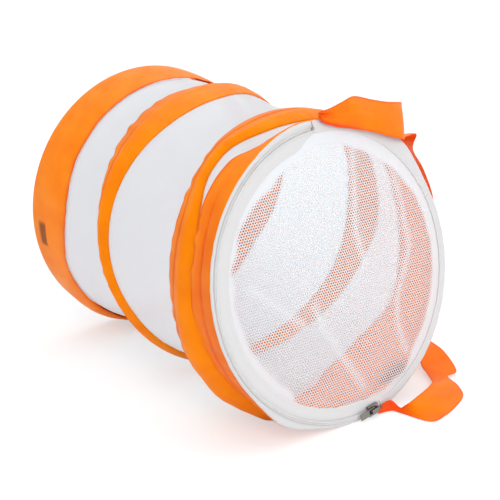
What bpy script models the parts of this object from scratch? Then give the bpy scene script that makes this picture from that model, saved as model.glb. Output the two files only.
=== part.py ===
"""Collapsible insect cage lying on its side.

A net tube is held open by a back hoop, a front hoop and a spiral spring wire that
winds from one to the other inside an orange casing. The front end closes with a net
lid on a zipper, and a ribbon strap is sewn to the front rim at two places.
Lengths are in metres. The cage axis runs along Y, with the lid towards -Y.
"""

import math

import bmesh
import bpy
from mathutils import Matrix, Vector

# Overall size
hoop_radius = 0.1000
back_edge = 0.1100
front_centre = -0.1164
skirt_start = -0.0450
front_lean = math.radians(12.8)
flat_depth = 0.0005
flat_height = hoop_radius - flat_depth

# Cloth, net and wire
fabric = 0.0006
net = 0.0005
gap = 0.0003
hem_depth = 0.0043
hem_thickness = 0.0004
hem_outer = hoop_radius - hem_depth
hem_inner = hem_outer - hem_thickness
hem_length = 0.0070
net_radius = hem_inner - gap
wire_radius = 0.0008
hoop_wire_depth = 0.0021
hoop_wire_ring = hoop_radius - hoop_wire_depth
hoop_wire_inset = 0.0026
spiral_wire_depth = 0.0026
spiral_wire_ring = hoop_radius - spiral_wire_depth
spiral_back_inset = 0.0100
spiral_front_inset = 0.0090

# Bands
back_band_width = 0.0390
back_band_front = back_edge - back_band_width
band_wave = 0.0010
front_band_depth = 0.0329
front_band_back = front_centre + front_band_depth
front_band_shift = 0.0035

# Casing over the spiral wire
casing = 0.0005
casing_crown_depth = 0.0010
casing_crown = hoop_radius - casing_crown_depth
casing_edge = net_radius + casing + gap
casing_ridge = 0.0016

# Crimp ferrules
ferrule_inner = hem_outer + gap
ferrule_depth = 0.0016
ferrule_outer = hoop_radius - ferrule_depth
ferrule_reach = 0.0105
ferrule_start = 0.0011
groove_radius = 0.0011
back_ferrule_arc = (math.radians(91.5), math.radians(100.5))
front_ferrule_arc = (math.radians(203), math.radians(211))

# Zipper and lid: distances from the hoop's edge on the leaning front plane, and heights above it
rim_depth = 0.0007
rim_radius = hoop_radius - rim_depth
outer_tape_width = 0.0017
outer_tape_inner = rim_radius - outer_tape_width
coil_width = 0.0011
outer_coil_outer = outer_tape_inner - gap
outer_coil_span = (outer_coil_outer - coil_width, outer_coil_outer)
inner_coil_outer = outer_coil_span[0] - gap
inner_coil_span = (inner_coil_outer - coil_width, inner_coil_outer)
inner_tape_width = 0.0083
inner_tape_outer = inner_coil_span[0] - gap
inner_tape_span = (inner_tape_outer - inner_tape_width, inner_tape_outer)
lid_radius = inner_tape_span[0] - gap
fold_reach = 0.0025
fold_radius = hoop_radius - fold_reach
tape_base = 0.0003
tape_thickness = 0.0006
tape_top = tape_base + tape_thickness
coil_height = 0.0016
coil_top = tape_base + coil_height
zip_start = math.radians(3)
zip_end = math.radians(194)
strip_end = math.radians(363)
arc_gap = math.radians(0.4)
stop_lap = 0.0007
stop_span = (outer_coil_span[0], outer_coil_span[1] + stop_lap)
stop_length = math.radians(1.2)
stop_base = coil_top + gap
stop_thickness = 0.0009
stop_top = stop_base + stop_thickness

# Slider and pull
slider_angle = math.radians(189)
slider_half_length = 0.0045
slider_half_width = 0.0035
slider_ring = (inner_coil_span[0] + outer_coil_span[1]) / 2
slider_span = (slider_ring - slider_half_width, slider_ring + slider_half_width)
slider_lip = 0.0009
slider_lip_base = tape_top + gap
slider_base = coil_top + gap
slider_thickness = 0.0010
slider_top = slider_base + slider_thickness
bridge_half_length = 0.0034
bridge_half_width = 0.0012
bridge_post = 0.0008
bridge_clearance = 0.0018
bridge_opening = slider_top + bridge_clearance
bridge_top = bridge_opening + bridge_post
pull_height = (slider_top + bridge_opening) / 2
pull_thickness = 0.0008
pull_frame = 0.0007
pull_window_half_width = bridge_half_width + gap
pull_half_width = pull_window_half_width + pull_frame
pull_bar = 0.0005
pull_window_end = bridge_half_length + bridge_opening - slider_top
pull_tab = 0.0076
pull_end = pull_window_end + pull_tab

# Strap
strap_thickness = 0.0012

# Counts
around = 72
wire_sides = 6

# Spiral: turns from twelve o'clock towards the left side, in degrees, with the wire's
# distance from the front as a share of the cage's length, and the casing's width as a
# share of the hoop radius. The wire's two ends run beside the hoops.
spiral_start = -264
spiral_leaves_back = -240
spiral_meets_front = 555
spiral_end = 571
spiral_path_shares = (
    (-200, 0.949),
    (-160, 0.934),
    (-130, 0.903),
    (-100, 0.859),
    (-50, 0.735),
    (0, 0.614),
    (30, 0.598),
    (60, 0.596),
    (90, 0.576),
    (120, 0.525),
    (150, 0.488),
    (180, 0.457),
    (210, 0.426),
    (240, 0.382),
    (270, 0.346),
    (300, 0.311),
    (330, 0.262),
    (360, 0.214),
    (390, 0.209),
    (420, 0.181),
    (450, 0.148),
    (480, 0.117),
    (510, 0.059),
    (540, -0.016),
)
casing_width_shares = (
    (-140, 0.16),
    (-105, 0.28),
    (-50, 0.34),
    (0, 0.35),
    (30, 0.34),
    (60, 0.20),
    (75, 0.14),
    (105, 0.12),
    (120, 0.11),
    (150, 0.14),
    (180, 0.18),
    (240, 0.24),
    (270, 0.33),
    (300, 0.30),
    (345, 0.18),
    (390, 0.15),
    (420, 0.17),
    (450, 0.24),
    (500, 0.28),
)
casing_from = -140
casing_to = 500

# Strap: its two edges from the top end to the bottom end, as shares of the hoop radius,
# counted from the front plane's centre line.
strap_near_shares = (
    (0.010, 0.212, 0.953),
    (0.100, 0.208, 0.958),
    (0.230, 0.204, 0.940),
    (0.400, 0.194, 0.895),
    (0.570, 0.174, 0.820),
    (0.700, 0.164, 0.750),
    (0.790, 0.204, 0.725),
    (0.880, 0.314, 0.680),
    (1.055, 0.374, 0.565),
    (1.175, 0.374, 0.385),
    (1.262, 0.379, 0.110),
    (1.262, 0.389, -0.230),
    (1.200, 0.354, -0.520),
    (1.100, 0.214, -0.740),
    (0.940, 0.084, -0.900),
    (0.860, -0.056, -0.955),
    (0.800, -0.166, -0.955),
    (0.720, -0.236, -0.900),
    (0.640, -0.296, -0.860),
    (0.540, -0.336, -0.840),
    (0.420, -0.366, -0.850),
    (0.360, -0.326, -0.885),
    (0.320, -0.266, -0.915),
    (0.290, -0.233, -0.930),
    (0.250, -0.227, -0.945),
)
strap_far_shares = (
    (0.010, 0.226, 1.010),
    (0.100, 0.209, 1.070),
    (0.220, 0.199, 1.100),
    (0.380, 0.219, 1.080),
    (0.550, 0.234, 1.030),
    (0.720, 0.224, 0.985),
    (0.800, 0.274, 0.955),
    (0.880, 0.424, 0.900),
    (1.035, 0.584, 0.680),
    (1.155, 0.612, 0.440),
    (1.250, 0.634, 0.090),
    (1.260, 0.684, -0.240),
    (1.230, 0.564, -0.600),
    (1.200, 0.384, -0.860),
    (1.140, 0.114, -0.920),
    (1.040, -0.086, -0.955),
    (0.960, -0.186, -0.960),
    (0.890, -0.326, -0.990),
    (0.810, -0.426, -0.990),
    (0.640, -0.516, -0.990),
    (0.480, -0.536, -0.990),
    (0.400, -0.496, -0.990),
    (0.370, -0.396, -0.990),
    (0.360, -0.306, -0.990),
    (0.310, -0.251, -0.988),
)


def clear_scene():
    for obj in list(bpy.data.objects):
        bpy.data.objects.remove(obj, do_unlink=True)


def new_collection(name, hidden):
    found = bpy.data.collections.new(name)
    bpy.context.scene.collection.children.link(found)
    found.hide_render = hidden
    return found


def material(name, colour, metallic, roughness):
    made = bpy.data.materials.new(name)
    made.use_nodes = True
    shader = made.node_tree.nodes["Principled BSDF"]
    shader.inputs["Base Color"].default_value = (*colour, 1.0)
    shader.inputs["Metallic"].default_value = metallic
    shader.inputs["Roughness"].default_value = roughness
    made.diffuse_color = (*colour, 1.0)
    return made


def orange_satin(name):
    return material(name, (1.0, 0.23, 0.02), 0.0, 0.45)


def pale_net(name):
    return material(name, (0.83, 0.79, 0.86), 0.0, 0.60)


def white_tape(name):
    return material(name, (0.86, 0.86, 0.85), 0.0, 0.55)


def spring_steel(name):
    return material(name, (0.42, 0.42, 0.43), 1.0, 0.35)


def nickel(name):
    return material(name, (0.66, 0.65, 0.62), 1.0, 0.25)


def add_object(name, mesh, finish, collection, smooth=True):
    mesh.name = name
    obj = bpy.data.objects.new(name, mesh)
    obj.data.materials.append(finish)
    for face in obj.data.polygons:
        face.use_smooth = smooth
    collection.objects.link(obj)
    return obj


def mesh_from(points, faces):
    mesh = bpy.data.meshes.new("shape")
    mesh.from_pydata([tuple(p) for p in points], [], faces)
    work = bmesh.new()
    work.from_mesh(mesh)
    bmesh.ops.recalc_face_normals(work, faces=work.faces)
    work.to_mesh(mesh)
    work.free()
    return mesh


def swept(sections, closed):
    """A solid through sections with equal counts of points, joined end to end if closed."""
    count = len(sections[0])
    points = [p for section in sections for p in section]
    faces = []
    last = len(sections) if closed else len(sections) - 1
    for i in range(last):
        here = i * count
        there = ((i + 1) % len(sections)) * count
        for j in range(count):
            k = (j + 1) % count
            faces.append((here + j, here + k, there + k, there + j))
    if not closed:
        faces.append(tuple(range(count)))
        faces.append(tuple(range(len(points) - count, len(points))))
    return mesh_from(points, faces)


def smooth_value(table, at):
    """A value between the rows of a table, on a curve that eases through each row."""
    rows = list(table)
    if at <= rows[0][0]:
        return rows[0][1]
    if at >= rows[-1][0]:
        return rows[-1][1]
    i = max(k for k in range(len(rows) - 1) if rows[k][0] <= at)
    x0, y0 = rows[i]
    x1, y1 = rows[i + 1]
    before = rows[max(i - 1, 0)]
    after = rows[min(i + 2, len(rows) - 1)]
    slope0 = (y1 - before[1]) / (x1 - before[0])
    slope1 = (after[1] - y0) / (after[0] - x0)
    span = x1 - x0
    t = (at - x0) / span
    h00 = (1 + 2 * t) * (1 - t) ** 2
    h10 = t * (1 - t) ** 2
    h01 = t * t * (3 - 2 * t)
    h11 = t * t * (t - 1)
    return h00 * y0 + h10 * span * slope0 + h01 * y1 + h11 * span * slope1


def front_point(angle, radius, ahead=0.0):
    """A point on the leaning front plane. The angle runs from the top towards the left side."""
    up = radius * math.cos(angle)
    centre_height = hoop_radius * (math.cos(front_lean) - 1)
    y = front_centre + up * math.sin(front_lean) - ahead * math.cos(front_lean)
    z = centre_height + up * math.cos(front_lean) + ahead * math.sin(front_lean)
    return Vector((-radius * math.sin(angle), y, z))


def wall_point(angle, radius, y):
    """A point of the tube wall: upright behind the skirt, then turning to the front plane."""
    upright = Vector((-radius * math.sin(angle), y, radius * math.cos(angle)))
    if y >= skirt_start:
        return upright
    end = front_point(angle, radius)
    upright.y = skirt_start
    share = (skirt_start - y) / (skirt_start - end.y)
    return upright.lerp(end, share)


def behind(angle, radius, distance):
    """A point of the tube wall at a distance behind the front plane."""
    return wall_point(angle, radius, front_point(angle, radius).y + distance)


def rested(point, height):
    """The point, raised to the flat that the cage stands on."""
    return Vector((point.x, point.y, max(point.z, -height)))


def angles(first, last, count):
    return [first + (last - first) * i / count for i in range(count + 1)]


def ring_angles():
    return angles(0.0, math.tau, around)[:-1]


def back_band(collection):
    sections = []
    inner = hoop_radius - fabric
    for angle in ring_angles():
        front = back_band_front + band_wave * math.sin(7 * angle) * math.cos(2 * angle)
        outline = (
            (hoop_radius, front, flat_height),
            (hoop_radius, back_edge, flat_height),
            (hem_inner, back_edge, flat_height),
            (hem_inner, back_edge - hem_length, flat_height),
            (hem_outer, back_edge - hem_length, flat_height),
            (hem_outer, back_edge - fabric, flat_height),
            (inner, back_edge - fabric, flat_height - fabric),
            (inner, front, flat_height - fabric),
        )
        sections.append([rested(wall_point(angle, r, y), h) for r, y, h in outline])
    return add_object("back_band", swept(sections, True), orange_satin("back_band_satin"), collection)


def front_band(collection):
    sections = []
    inner = hoop_radius - fabric
    lower = flat_height - fabric
    for angle in ring_angles():
        back = front_band_back - front_band_shift * math.cos(angle - math.radians(20))
        middle = (back + front_point(angle, hoop_radius).y) / 2
        section = [
            rested(wall_point(angle, hoop_radius, back), flat_height),
            rested(wall_point(angle, hoop_radius, middle), flat_height),
            rested(behind(angle, hoop_radius, 0.0), flat_height),
            rested(behind(angle, hem_inner, 0.0), flat_height),
            rested(behind(angle, hem_inner, hem_length), flat_height),
            rested(behind(angle, hem_outer, hem_length), flat_height),
            rested(behind(angle, hem_outer, fabric), flat_height),
            rested(behind(angle, inner, fabric), lower),
            rested(wall_point(angle, inner, middle), lower),
            rested(wall_point(angle, inner, back), lower),
        ]
        sections.append(section)
    return add_object("front_band", swept(sections, True), orange_satin("front_band_satin"), collection)


def hoop_section(angle, place):
    """The wire's own cross-section at one angle. place gives the point at a radius and a distance along the axis."""
    points = []
    for i in range(wire_sides):
        turn = math.tau * i / wire_sides
        radius = hoop_wire_ring + wire_radius * math.cos(turn)
        points.append(place(angle, radius, wire_radius * math.sin(turn)))
    return points


def back_hoop_wire(collection):
    def place(angle, radius, along):
        return wall_point(angle, radius, back_edge - hoop_wire_inset + along)

    mesh = swept([hoop_section(a, place) for a in ring_angles()], True)
    return add_object("back_hoop_wire", mesh, spring_steel("back_hoop_steel"), collection)


def front_hoop_wire(collection):
    def place(angle, radius, along):
        return front_point(angle, radius) + Vector((0.0, hoop_wire_inset + along, 0.0))

    mesh = swept([hoop_section(a, place) for a in ring_angles()], True)
    return add_object("front_hoop_wire", mesh, spring_steel("front_hoop_steel"), collection)


def spiral_y(degrees):
    """How far along the axis the spiral wire is at a turn, in degrees."""
    length = back_edge - front_centre
    back = back_edge - spiral_back_inset
    rows = [(spiral_start, back), (spiral_leaves_back, back)]
    rows += [(turn, front_centre + length * share) for turn, share in spiral_path_shares]
    for turn in range(spiral_meets_front, spiral_end + 1, 4):
        rows.append((turn, front_point(math.radians(turn), hoop_radius).y + spiral_front_inset))
    return smooth_value(rows, degrees)


def spiral_stations(first, last, step):
    count = round((last - first) / step)
    return [first + (last - first) * i / count for i in range(count + 1)]


def spiral_wire(collection):
    sections = []
    for degrees in spiral_stations(spiral_start, spiral_end, 6):
        angle = math.radians(degrees)
        section = []
        for i in range(wire_sides):
            turn = math.tau * i / wire_sides
            radius = spiral_wire_ring + wire_radius * math.cos(turn)
            section.append(wall_point(angle, radius, spiral_y(degrees) + wire_radius * math.sin(turn)))
        sections.append(section)
    mesh = swept(sections, False)
    return add_object("spiral_wire", mesh, spring_steel("spiral_steel"), collection)


def spiral_casing(collection):
    sections = []
    shoulder = (casing_crown + casing_edge) / 2
    for degrees in spiral_stations(casing_from, casing_to, 5):
        angle = math.radians(degrees)
        centre = spiral_y(degrees)
        half = hoop_radius * smooth_value(casing_width_shares, degrees) / 2
        mid = (half + casing_ridge) / 2
        outline = (
            (half, casing_edge),
            (mid, shoulder),
            (casing_ridge, casing_crown),
            (-casing_ridge, casing_crown),
            (-mid, shoulder),
            (-half, casing_edge),
        )
        outer = [wall_point(angle, radius, centre + along) for along, radius in outline]
        inner = [wall_point(angle, radius - casing, centre + along) for along, radius in reversed(outline)]
        sections.append(outer + inner)
    mesh = swept(sections, False)
    return add_object("spiral_casing", mesh, orange_satin("spiral_casing_satin"), collection)


def net_tube(collection):
    sections = []
    inner = net_radius - net
    back = back_edge - net - gap
    for angle in ring_angles():
        outer_side = [
            wall_point(angle, net_radius, back),
            wall_point(angle, net_radius, skirt_start),
            behind(angle, net_radius, hoop_wire_inset),
        ]
        inner_side = [
            behind(angle, inner, hoop_wire_inset),
            wall_point(angle, inner, skirt_start),
            wall_point(angle, inner, back),
        ]
        sections.append(outer_side + inner_side)
    return add_object("net_tube", swept(sections, True), pale_net("net_tube_net"), collection)


def back_net_panel(collection):
    radius = hem_inner - gap
    faces = [[wall_point(a, radius, y) for a in ring_angles()] for y in (back_edge, back_edge - net)]
    return add_object("back_net_panel", swept(faces, False), pale_net("back_panel_net"), collection, smooth=False)


def fold_line():
    """The straight line that the lid folds on, from the top end of the zipper to its bottom end: the unit vector across it, towards the fixed side, and how far it lies from the centre."""
    top = Vector((-math.sin(zip_start), math.cos(zip_start)))
    bottom = Vector((-math.sin(zip_end), math.cos(zip_end)))
    along = (bottom - top).normalized()
    across = Vector((-along.y, along.x))
    return across, across.dot(top) * fold_radius


def fold_crossings(offset):
    """The two angles where a line beside the fold, at an offset from it, meets the edge of the lid's net."""
    across, distance = fold_line()
    middle = math.atan2(-across.x, across.y)
    reach = math.acos((distance + offset) / lid_radius)
    return middle, reach


def lid_slab(name, first, last, collection):
    """The part of the lid's net between two angles, closed by the straight line between its ends."""
    count = round((last - first) / (math.tau / around))
    outline = angles(first, last, count)
    heights = (tape_base, tape_base + net)
    layers = [[front_point(a, lid_radius, h) for a in outline] for h in heights]
    return add_object(name, swept(layers, False), pale_net(name + "_net"), collection, smooth=False)


def lid_nets(collection):
    middle, reach = fold_crossings(-gap / 2)
    lid_slab("lid_net", middle + reach, middle + math.tau - reach, collection)
    middle, reach = fold_crossings(gap / 2)
    lid_slab("lid_fixed_net", middle - reach, middle + reach, collection)


def rim_arc(name, span, heights, first, last, finish, collection):
    """A strip on the front plane between two radii, two heights and two angles."""
    count = max(1, round((last - first) / (math.tau / around)))
    sections = []
    for angle in angles(first, last, count):
        sections.append(
            [
                front_point(angle, span[0], heights[0]),
                front_point(angle, span[1], heights[0]),
                front_point(angle, span[1], heights[1]),
                front_point(angle, span[0], heights[1]),
            ]
        )
    return add_object(name, swept(sections, False), finish, collection)


def zipper(collection):
    tape = (tape_base, tape_top)
    coil = (tape_base, coil_top)
    stop = (stop_base, stop_top)
    first = zip_start
    last = zip_end - arc_gap
    rim_arc("zipper_outer_tape", (outer_tape_inner, rim_radius), tape, first, last, white_tape("outer_tape"), collection)
    rim_arc("zipper_outer_coil", outer_coil_span, coil, first, last, white_tape("outer_coil"), collection)
    rim_arc("zipper_inner_coil", inner_coil_span, coil, first, last, white_tape("inner_coil"), collection)
    rim_arc("zipper_inner_tape", inner_tape_span, tape, first, last, white_tape("inner_tape"), collection)
    rim_arc("zipper_top_stop", stop_span, stop, first, first + stop_length, nickel("top_stop_nickel"), collection)
    rim_arc("zipper_bottom_stop", stop_span, stop, last - stop_length, last, nickel("bottom_stop_nickel"), collection)


def lid_hinge_strip(collection):
    span = (inner_tape_span[0], rim_radius)
    heights = (tape_base, tape_top)
    finish = white_tape("hinge_strip_tape")
    rim_arc("lid_hinge_strip", span, heights, zip_end, strip_end - arc_gap, finish, collection)


def box_mesh(low, high):
    points = [(x, y, z) for x in (low[0], high[0]) for y in (low[1], high[1]) for z in (low[2], high[2])]
    faces = [(0, 1, 3, 2), (4, 6, 7, 5), (0, 4, 5, 1), (2, 3, 7, 6), (0, 2, 6, 4), (1, 5, 7, 3)]
    return mesh_from(points, faces)


def cutter(name, mesh, collection):
    obj = bpy.data.objects.new(name, mesh)
    collection.objects.link(obj)
    obj.hide_render = True
    obj.display_type = "WIRE"
    return obj


def combine(obj, other, operation):
    change = obj.modifiers.new(other.name, "BOOLEAN")
    change.operation = operation
    change.solver = "EXACT"
    change.object = other


def groove(name, centres, collection):
    """A round cutter along an arc, for a wire to lie in."""
    sections = []
    for centre, across, along in centres:
        section = []
        for i in range(12):
            turn = math.tau * i / 12
            section.append(centre + across * groove_radius * math.cos(turn) + along * groove_radius * math.sin(turn))
        sections.append(section)
    return cutter(name, swept(sections, False), collection)


def ferrule(name, arc, on_hoop, finish, collection, cutters):
    """A folded metal clip that holds the hoop wire and the end of the spiral wire side by side."""
    count = 3
    inside = [arc[0] + (arc[1] - arc[0]) * i / count for i in range(count + 1)]
    margin = (arc[1] - arc[0]) / count
    sections = []
    for angle in inside:
        corners = (
            (ferrule_inner, ferrule_start),
            (ferrule_outer, ferrule_start),
            (ferrule_outer, ferrule_start + ferrule_reach),
            (ferrule_inner, ferrule_start + ferrule_reach),
        )
        sections.append([on_hoop(angle, radius, along) for radius, along in corners])
    body = add_object(name, swept(sections, False), finish, collection, smooth=False)
    reach = [arc[0] - margin] + inside + [arc[1] + margin]
    across = [Vector((-math.sin(a), 0.0, math.cos(a))) for a in reach]
    axis = Vector((0.0, 1.0, 0.0))
    hoop = [(on_hoop(a, hoop_wire_ring, hoop_wire_inset), out, axis) for a, out in zip(reach, across)]
    combine(body, groove(name + "_hoop_groove", hoop, cutters), "DIFFERENCE")
    spiral = []
    for a, out in zip(reach, across):
        degrees = math.degrees(a) + (360 if arc[0] > math.pi else -360)
        spiral.append((wall_point(a, spiral_wire_ring, spiral_y(degrees)), out, axis))
    combine(body, groove(name + "_spiral_groove", spiral, cutters), "DIFFERENCE")
    return body


def ferrules(collection, cutters):
    def on_back(angle, radius, along):
        return wall_point(angle, radius, back_edge - along)

    def on_front(angle, radius, along):
        return front_point(angle, radius) + Vector((0.0, along, 0.0))

    ferrule("back_crimp_ferrule", back_ferrule_arc, on_back, nickel("back_ferrule_steel"), collection, cutters)
    ferrule("front_crimp_ferrule", front_ferrule_arc, on_front, nickel("front_ferrule_steel"), collection, cutters)


def slider_frame():
    """The slider's own axes: back along the zipper, outwards from the hoop centre, and off the front plane."""
    angle = slider_angle
    back = Vector(
        (math.cos(angle), math.sin(front_lean) * math.sin(angle), math.cos(front_lean) * math.sin(angle))
    )
    outward = Vector(
        (-math.sin(angle), math.sin(front_lean) * math.cos(angle), math.cos(front_lean) * math.cos(angle))
    )
    off = Vector((0.0, -math.cos(front_lean), math.sin(front_lean)))
    axes = Matrix((back, outward, off)).transposed().to_4x4()
    return Matrix.Translation(front_point(0.0, 0.0)) @ axes


def zipper_slider(collection, cutters):
    """A channel over both rows of coil, with a bridge on top for the pull."""
    frame = slider_frame()
    inner, outer = slider_span
    channel = (
        (inner, slider_lip_base),
        (inner + slider_lip, slider_lip_base),
        (inner + slider_lip, slider_base),
        (outer - slider_lip, slider_base),
        (outer - slider_lip, slider_lip_base),
        (outer, slider_lip_base),
        (outer, slider_top),
        (inner, slider_top),
    )
    ends = (-slider_half_length, slider_half_length)
    body = add_object(
        "zipper_slider",
        swept([[Vector((x, across, high)) for across, high in channel] for x in ends], False),
        nickel("slider_nickel"),
        collection,
        smooth=False,
    )
    foot = (slider_base + slider_top) / 2
    arm = bridge_half_length
    arch = (
        (-arm, foot),
        (bridge_post - arm, foot),
        (bridge_post - arm, bridge_opening),
        (arm - bridge_post, bridge_opening),
        (arm - bridge_post, foot),
        (arm, foot),
        (arm, bridge_top),
        (-arm, bridge_top),
    )
    sides = (slider_ring - bridge_half_width, slider_ring + bridge_half_width)
    bridge = swept([[Vector((x, across, high)) for x, high in arch] for across in sides], False)
    helper = cutter("slider_bridge", bridge, cutters)
    helper.data.transform(frame)
    combine(body, helper, "UNION")
    body.data.transform(frame)


def zipper_pull(collection, cutters):
    frame = slider_frame()
    centre = slider_ring
    low = pull_height - pull_thickness / 2
    high = pull_height + pull_thickness / 2
    body = add_object(
        "zipper_pull",
        box_mesh((-pull_bar, centre - pull_half_width, low), (pull_end, centre + pull_half_width, high)),
        nickel("pull_nickel"),
        collection,
        smooth=False,
    )
    side = pull_window_half_width
    window = cutter(
        "pull_window",
        box_mesh((pull_bar, centre - side, low - gap), (pull_window_end, centre + side, high + gap)),
        cutters,
    )
    window.data.transform(frame)
    combine(body, window, "DIFFERENCE")
    body.data.transform(frame)


def strap_edges():
    """The strap's two edges, eased through the points that were read for them."""
    front = Vector((0.0, front_centre, 0.0))
    near = [front + Vector(p) * hoop_radius for p in strap_near_shares]
    far = [front + Vector(p) * hoop_radius for p in strap_far_shares]
    steps = 3
    edges = []
    for edge in (near, far):
        tables = [[(i, p[axis]) for i, p in enumerate(edge)] for axis in range(3)]
        count = (len(edge) - 1) * steps
        edges.append([Vector([smooth_value(t, i / steps) for t in tables]) for i in range(count + 1)])
    return edges


def carry_strap(collection):
    near, far = strap_edges()
    middle = [(a + b) / 2 for a, b in zip(near, far)]
    sections = []
    for i, (a, b) in enumerate(zip(near, far)):
        ahead = middle[min(i + 1, len(middle) - 1)] - middle[max(i - 1, 0)]
        off = ahead.cross(b - a).normalized() * (strap_thickness / 2)
        sections.append([rested(p, flat_height) for p in (a - off, b - off, b + off, a + off)])
    return add_object("carry_strap", swept(sections, False), orange_satin("carry_strap_satin"), collection)


def joint_points():
    """Where the moving pieces turn, before the part is set on its frame."""
    near, far = strap_edges()
    return {
        "front_tilt": front_point(math.pi, hoop_radius),
        "lid_fold_top": front_point(zip_start, fold_radius, coil_top),
        "lid_fold_bottom": front_point(zip_end, fold_radius, coil_top),
        "slider_run": front_point(0.0, 0.0, slider_top),
        "pull_flip": front_point(slider_angle, slider_ring, pull_height),
        "strap_top": (near[0] + far[0]) / 2,
        "strap_bottom": near[-1],
    }


def set_origins(collection, points):
    """Puts each moving piece's origin on its joint's axis."""
    pieces = {
        "front_hoop_wire": "front_tilt",
        "front_crimp_ferrule": "front_tilt",
        "zipper_outer_tape": "front_tilt",
        "zipper_outer_coil": "front_tilt",
        "zipper_top_stop": "front_tilt",
        "zipper_bottom_stop": "front_tilt",
        "lid_hinge_strip": "front_tilt",
        "lid_fixed_net": "front_tilt",
        "lid_net": "lid_fold_top",
        "zipper_inner_tape": "lid_fold_top",
        "zipper_inner_coil": "lid_fold_top",
        "zipper_slider": "slider_run",
        "zipper_pull": "pull_flip",
        "carry_strap": "strap_top",
    }
    for name, joint in pieces.items():
        obj = collection.objects[name]
        obj.data.transform(Matrix.Translation(-points[joint]))
        obj.location = points[joint]


def set_on_frame(collection, cutters, points):
    """Moves the whole part so that the middle of its footprint is the origin and it stands on z = 0."""
    bpy.context.view_layer.update()
    corners = [obj.matrix_world @ v.co for obj in collection.objects for v in obj.data.vertices]
    middle_x = (min(p.x for p in corners) + max(p.x for p in corners)) / 2
    middle_y = (min(p.y for p in corners) + max(p.y for p in corners)) / 2
    move = Vector((-middle_x, -middle_y, -min(p.z for p in corners)))
    for obj in list(collection.objects) + list(cutters.objects):
        obj.location += move
    for name, point in points.items():
        print("joint", name, [round(v, 5) for v in point + move])
    print("axis", [round(v, 5) for v in move])


def main():
    clear_scene()
    collection = new_collection("insect_cage", False)
    cutters = new_collection("cutters", True)
    back_hoop_wire(collection)
    back_band(collection)
    back_net_panel(collection)
    net_tube(collection)
    spiral_wire(collection)
    spiral_casing(collection)
    front_band(collection)
    front_hoop_wire(collection)
    ferrules(collection, cutters)
    zipper(collection)
    lid_hinge_strip(collection)
    lid_nets(collection)
    zipper_slider(collection, cutters)
    zipper_pull(collection, cutters)
    carry_strap(collection)
    points = joint_points()
    set_origins(collection, points)
    set_on_frame(collection, cutters, points)


main()
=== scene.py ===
"""Insect cage: a collapsible net tube with orange satin bands, a spiral spring casing,
a zipped net lid and a ribbon strap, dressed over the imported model.

Lengths are in metres. Angles round the cage run from the top towards the left side,
which is -X, and the lid faces -Y. The spiral counts on through its turns.
"""

import math

import bmesh
import bpy
import numpy as np
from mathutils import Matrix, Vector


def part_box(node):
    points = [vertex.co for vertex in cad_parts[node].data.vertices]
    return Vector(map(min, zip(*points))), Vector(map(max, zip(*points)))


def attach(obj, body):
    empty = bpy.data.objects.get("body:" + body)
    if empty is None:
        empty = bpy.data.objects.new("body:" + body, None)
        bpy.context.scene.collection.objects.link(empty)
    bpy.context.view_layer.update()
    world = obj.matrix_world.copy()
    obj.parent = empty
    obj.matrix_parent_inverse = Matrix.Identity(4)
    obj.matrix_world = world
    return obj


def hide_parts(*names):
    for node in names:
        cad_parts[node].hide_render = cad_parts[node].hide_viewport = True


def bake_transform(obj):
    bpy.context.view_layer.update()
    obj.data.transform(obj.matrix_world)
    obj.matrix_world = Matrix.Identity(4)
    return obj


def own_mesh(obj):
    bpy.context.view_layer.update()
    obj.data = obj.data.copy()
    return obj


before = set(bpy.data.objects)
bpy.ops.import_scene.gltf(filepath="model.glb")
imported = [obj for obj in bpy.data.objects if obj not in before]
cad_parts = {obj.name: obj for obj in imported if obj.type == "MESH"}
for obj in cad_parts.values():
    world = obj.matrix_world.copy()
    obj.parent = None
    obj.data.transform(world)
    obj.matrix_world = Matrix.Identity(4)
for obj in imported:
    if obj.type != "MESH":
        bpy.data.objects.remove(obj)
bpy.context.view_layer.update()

bl_info = {
    "name": "Insect Cage",
    "version": (1, 0, 0),
    "blender": (4, 5, 0),
    "location": "View3D > Sidebar > Insect Cage",
    "description": "Builds a collapsible net insect cage over its packed model",
    "category": "Add Mesh",
}

# The cage's own sizes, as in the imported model
hoop_radius = 0.1000
back_edge = 0.1100
front_centre = -0.1164
skirt_start = -0.0450
front_lean = math.radians(12.8)
flat_height = 0.0995
net_radius = 0.0950
spiral_wire_ring = 0.0974
wire_radius = 0.0008
collapse_seam = -0.0600
zip_start = math.radians(3)
zip_end = math.radians(194)
strip_end = math.radians(363)
coil_base = 0.0005
coil_top = 0.0019

# How far out the lid's net reaches, at the hinge strip and at the zipper
net_at_hinge = 0.0949
net_at_zip = 0.0875

# Where the casing is cut in two, as a turn in degrees
casing_cut = 345

# Paper floor: half its width, and its height just under the cage
floor_half = 6.0
floor_height = -0.0002

# Camera: its place from the cage's centre in hoop radii, how far it looks down and round in
# degrees, and its lens in millimetres
camera_place = (-4.892, -6.586, 2.755)
camera_down = 19.67
camera_round = -37.66
camera_lens = 86.4

panel_low, panel_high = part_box("back_net_panel")
axis = np.array(
    (
        (panel_low[0] + panel_high[0]) / 2,
        panel_high[1] - back_edge,
        (panel_low[2] + panel_high[2]) / 2,
    )
)

# Spiral wire: turn in degrees, and distance from the front as a share of the cage's length
spiral_start = -264
spiral_leaves_back = -240
spiral_meets_front = 555
spiral_end = 571
spiral_back_inset = 0.0100
spiral_front_inset = 0.0090
spiral_path_shares = (
    (-200, 0.949), (-160, 0.934), (-130, 0.903), (-100, 0.859), (-50, 0.735), (0, 0.614),
    (30, 0.598), (60, 0.596), (90, 0.576), (120, 0.525), (150, 0.488), (180, 0.457),
    (210, 0.426), (240, 0.382), (270, 0.346), (300, 0.311), (330, 0.262), (360, 0.214),
    (390, 0.209), (420, 0.181), (450, 0.148), (480, 0.117), (510, 0.059), (540, -0.016),
)

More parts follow.
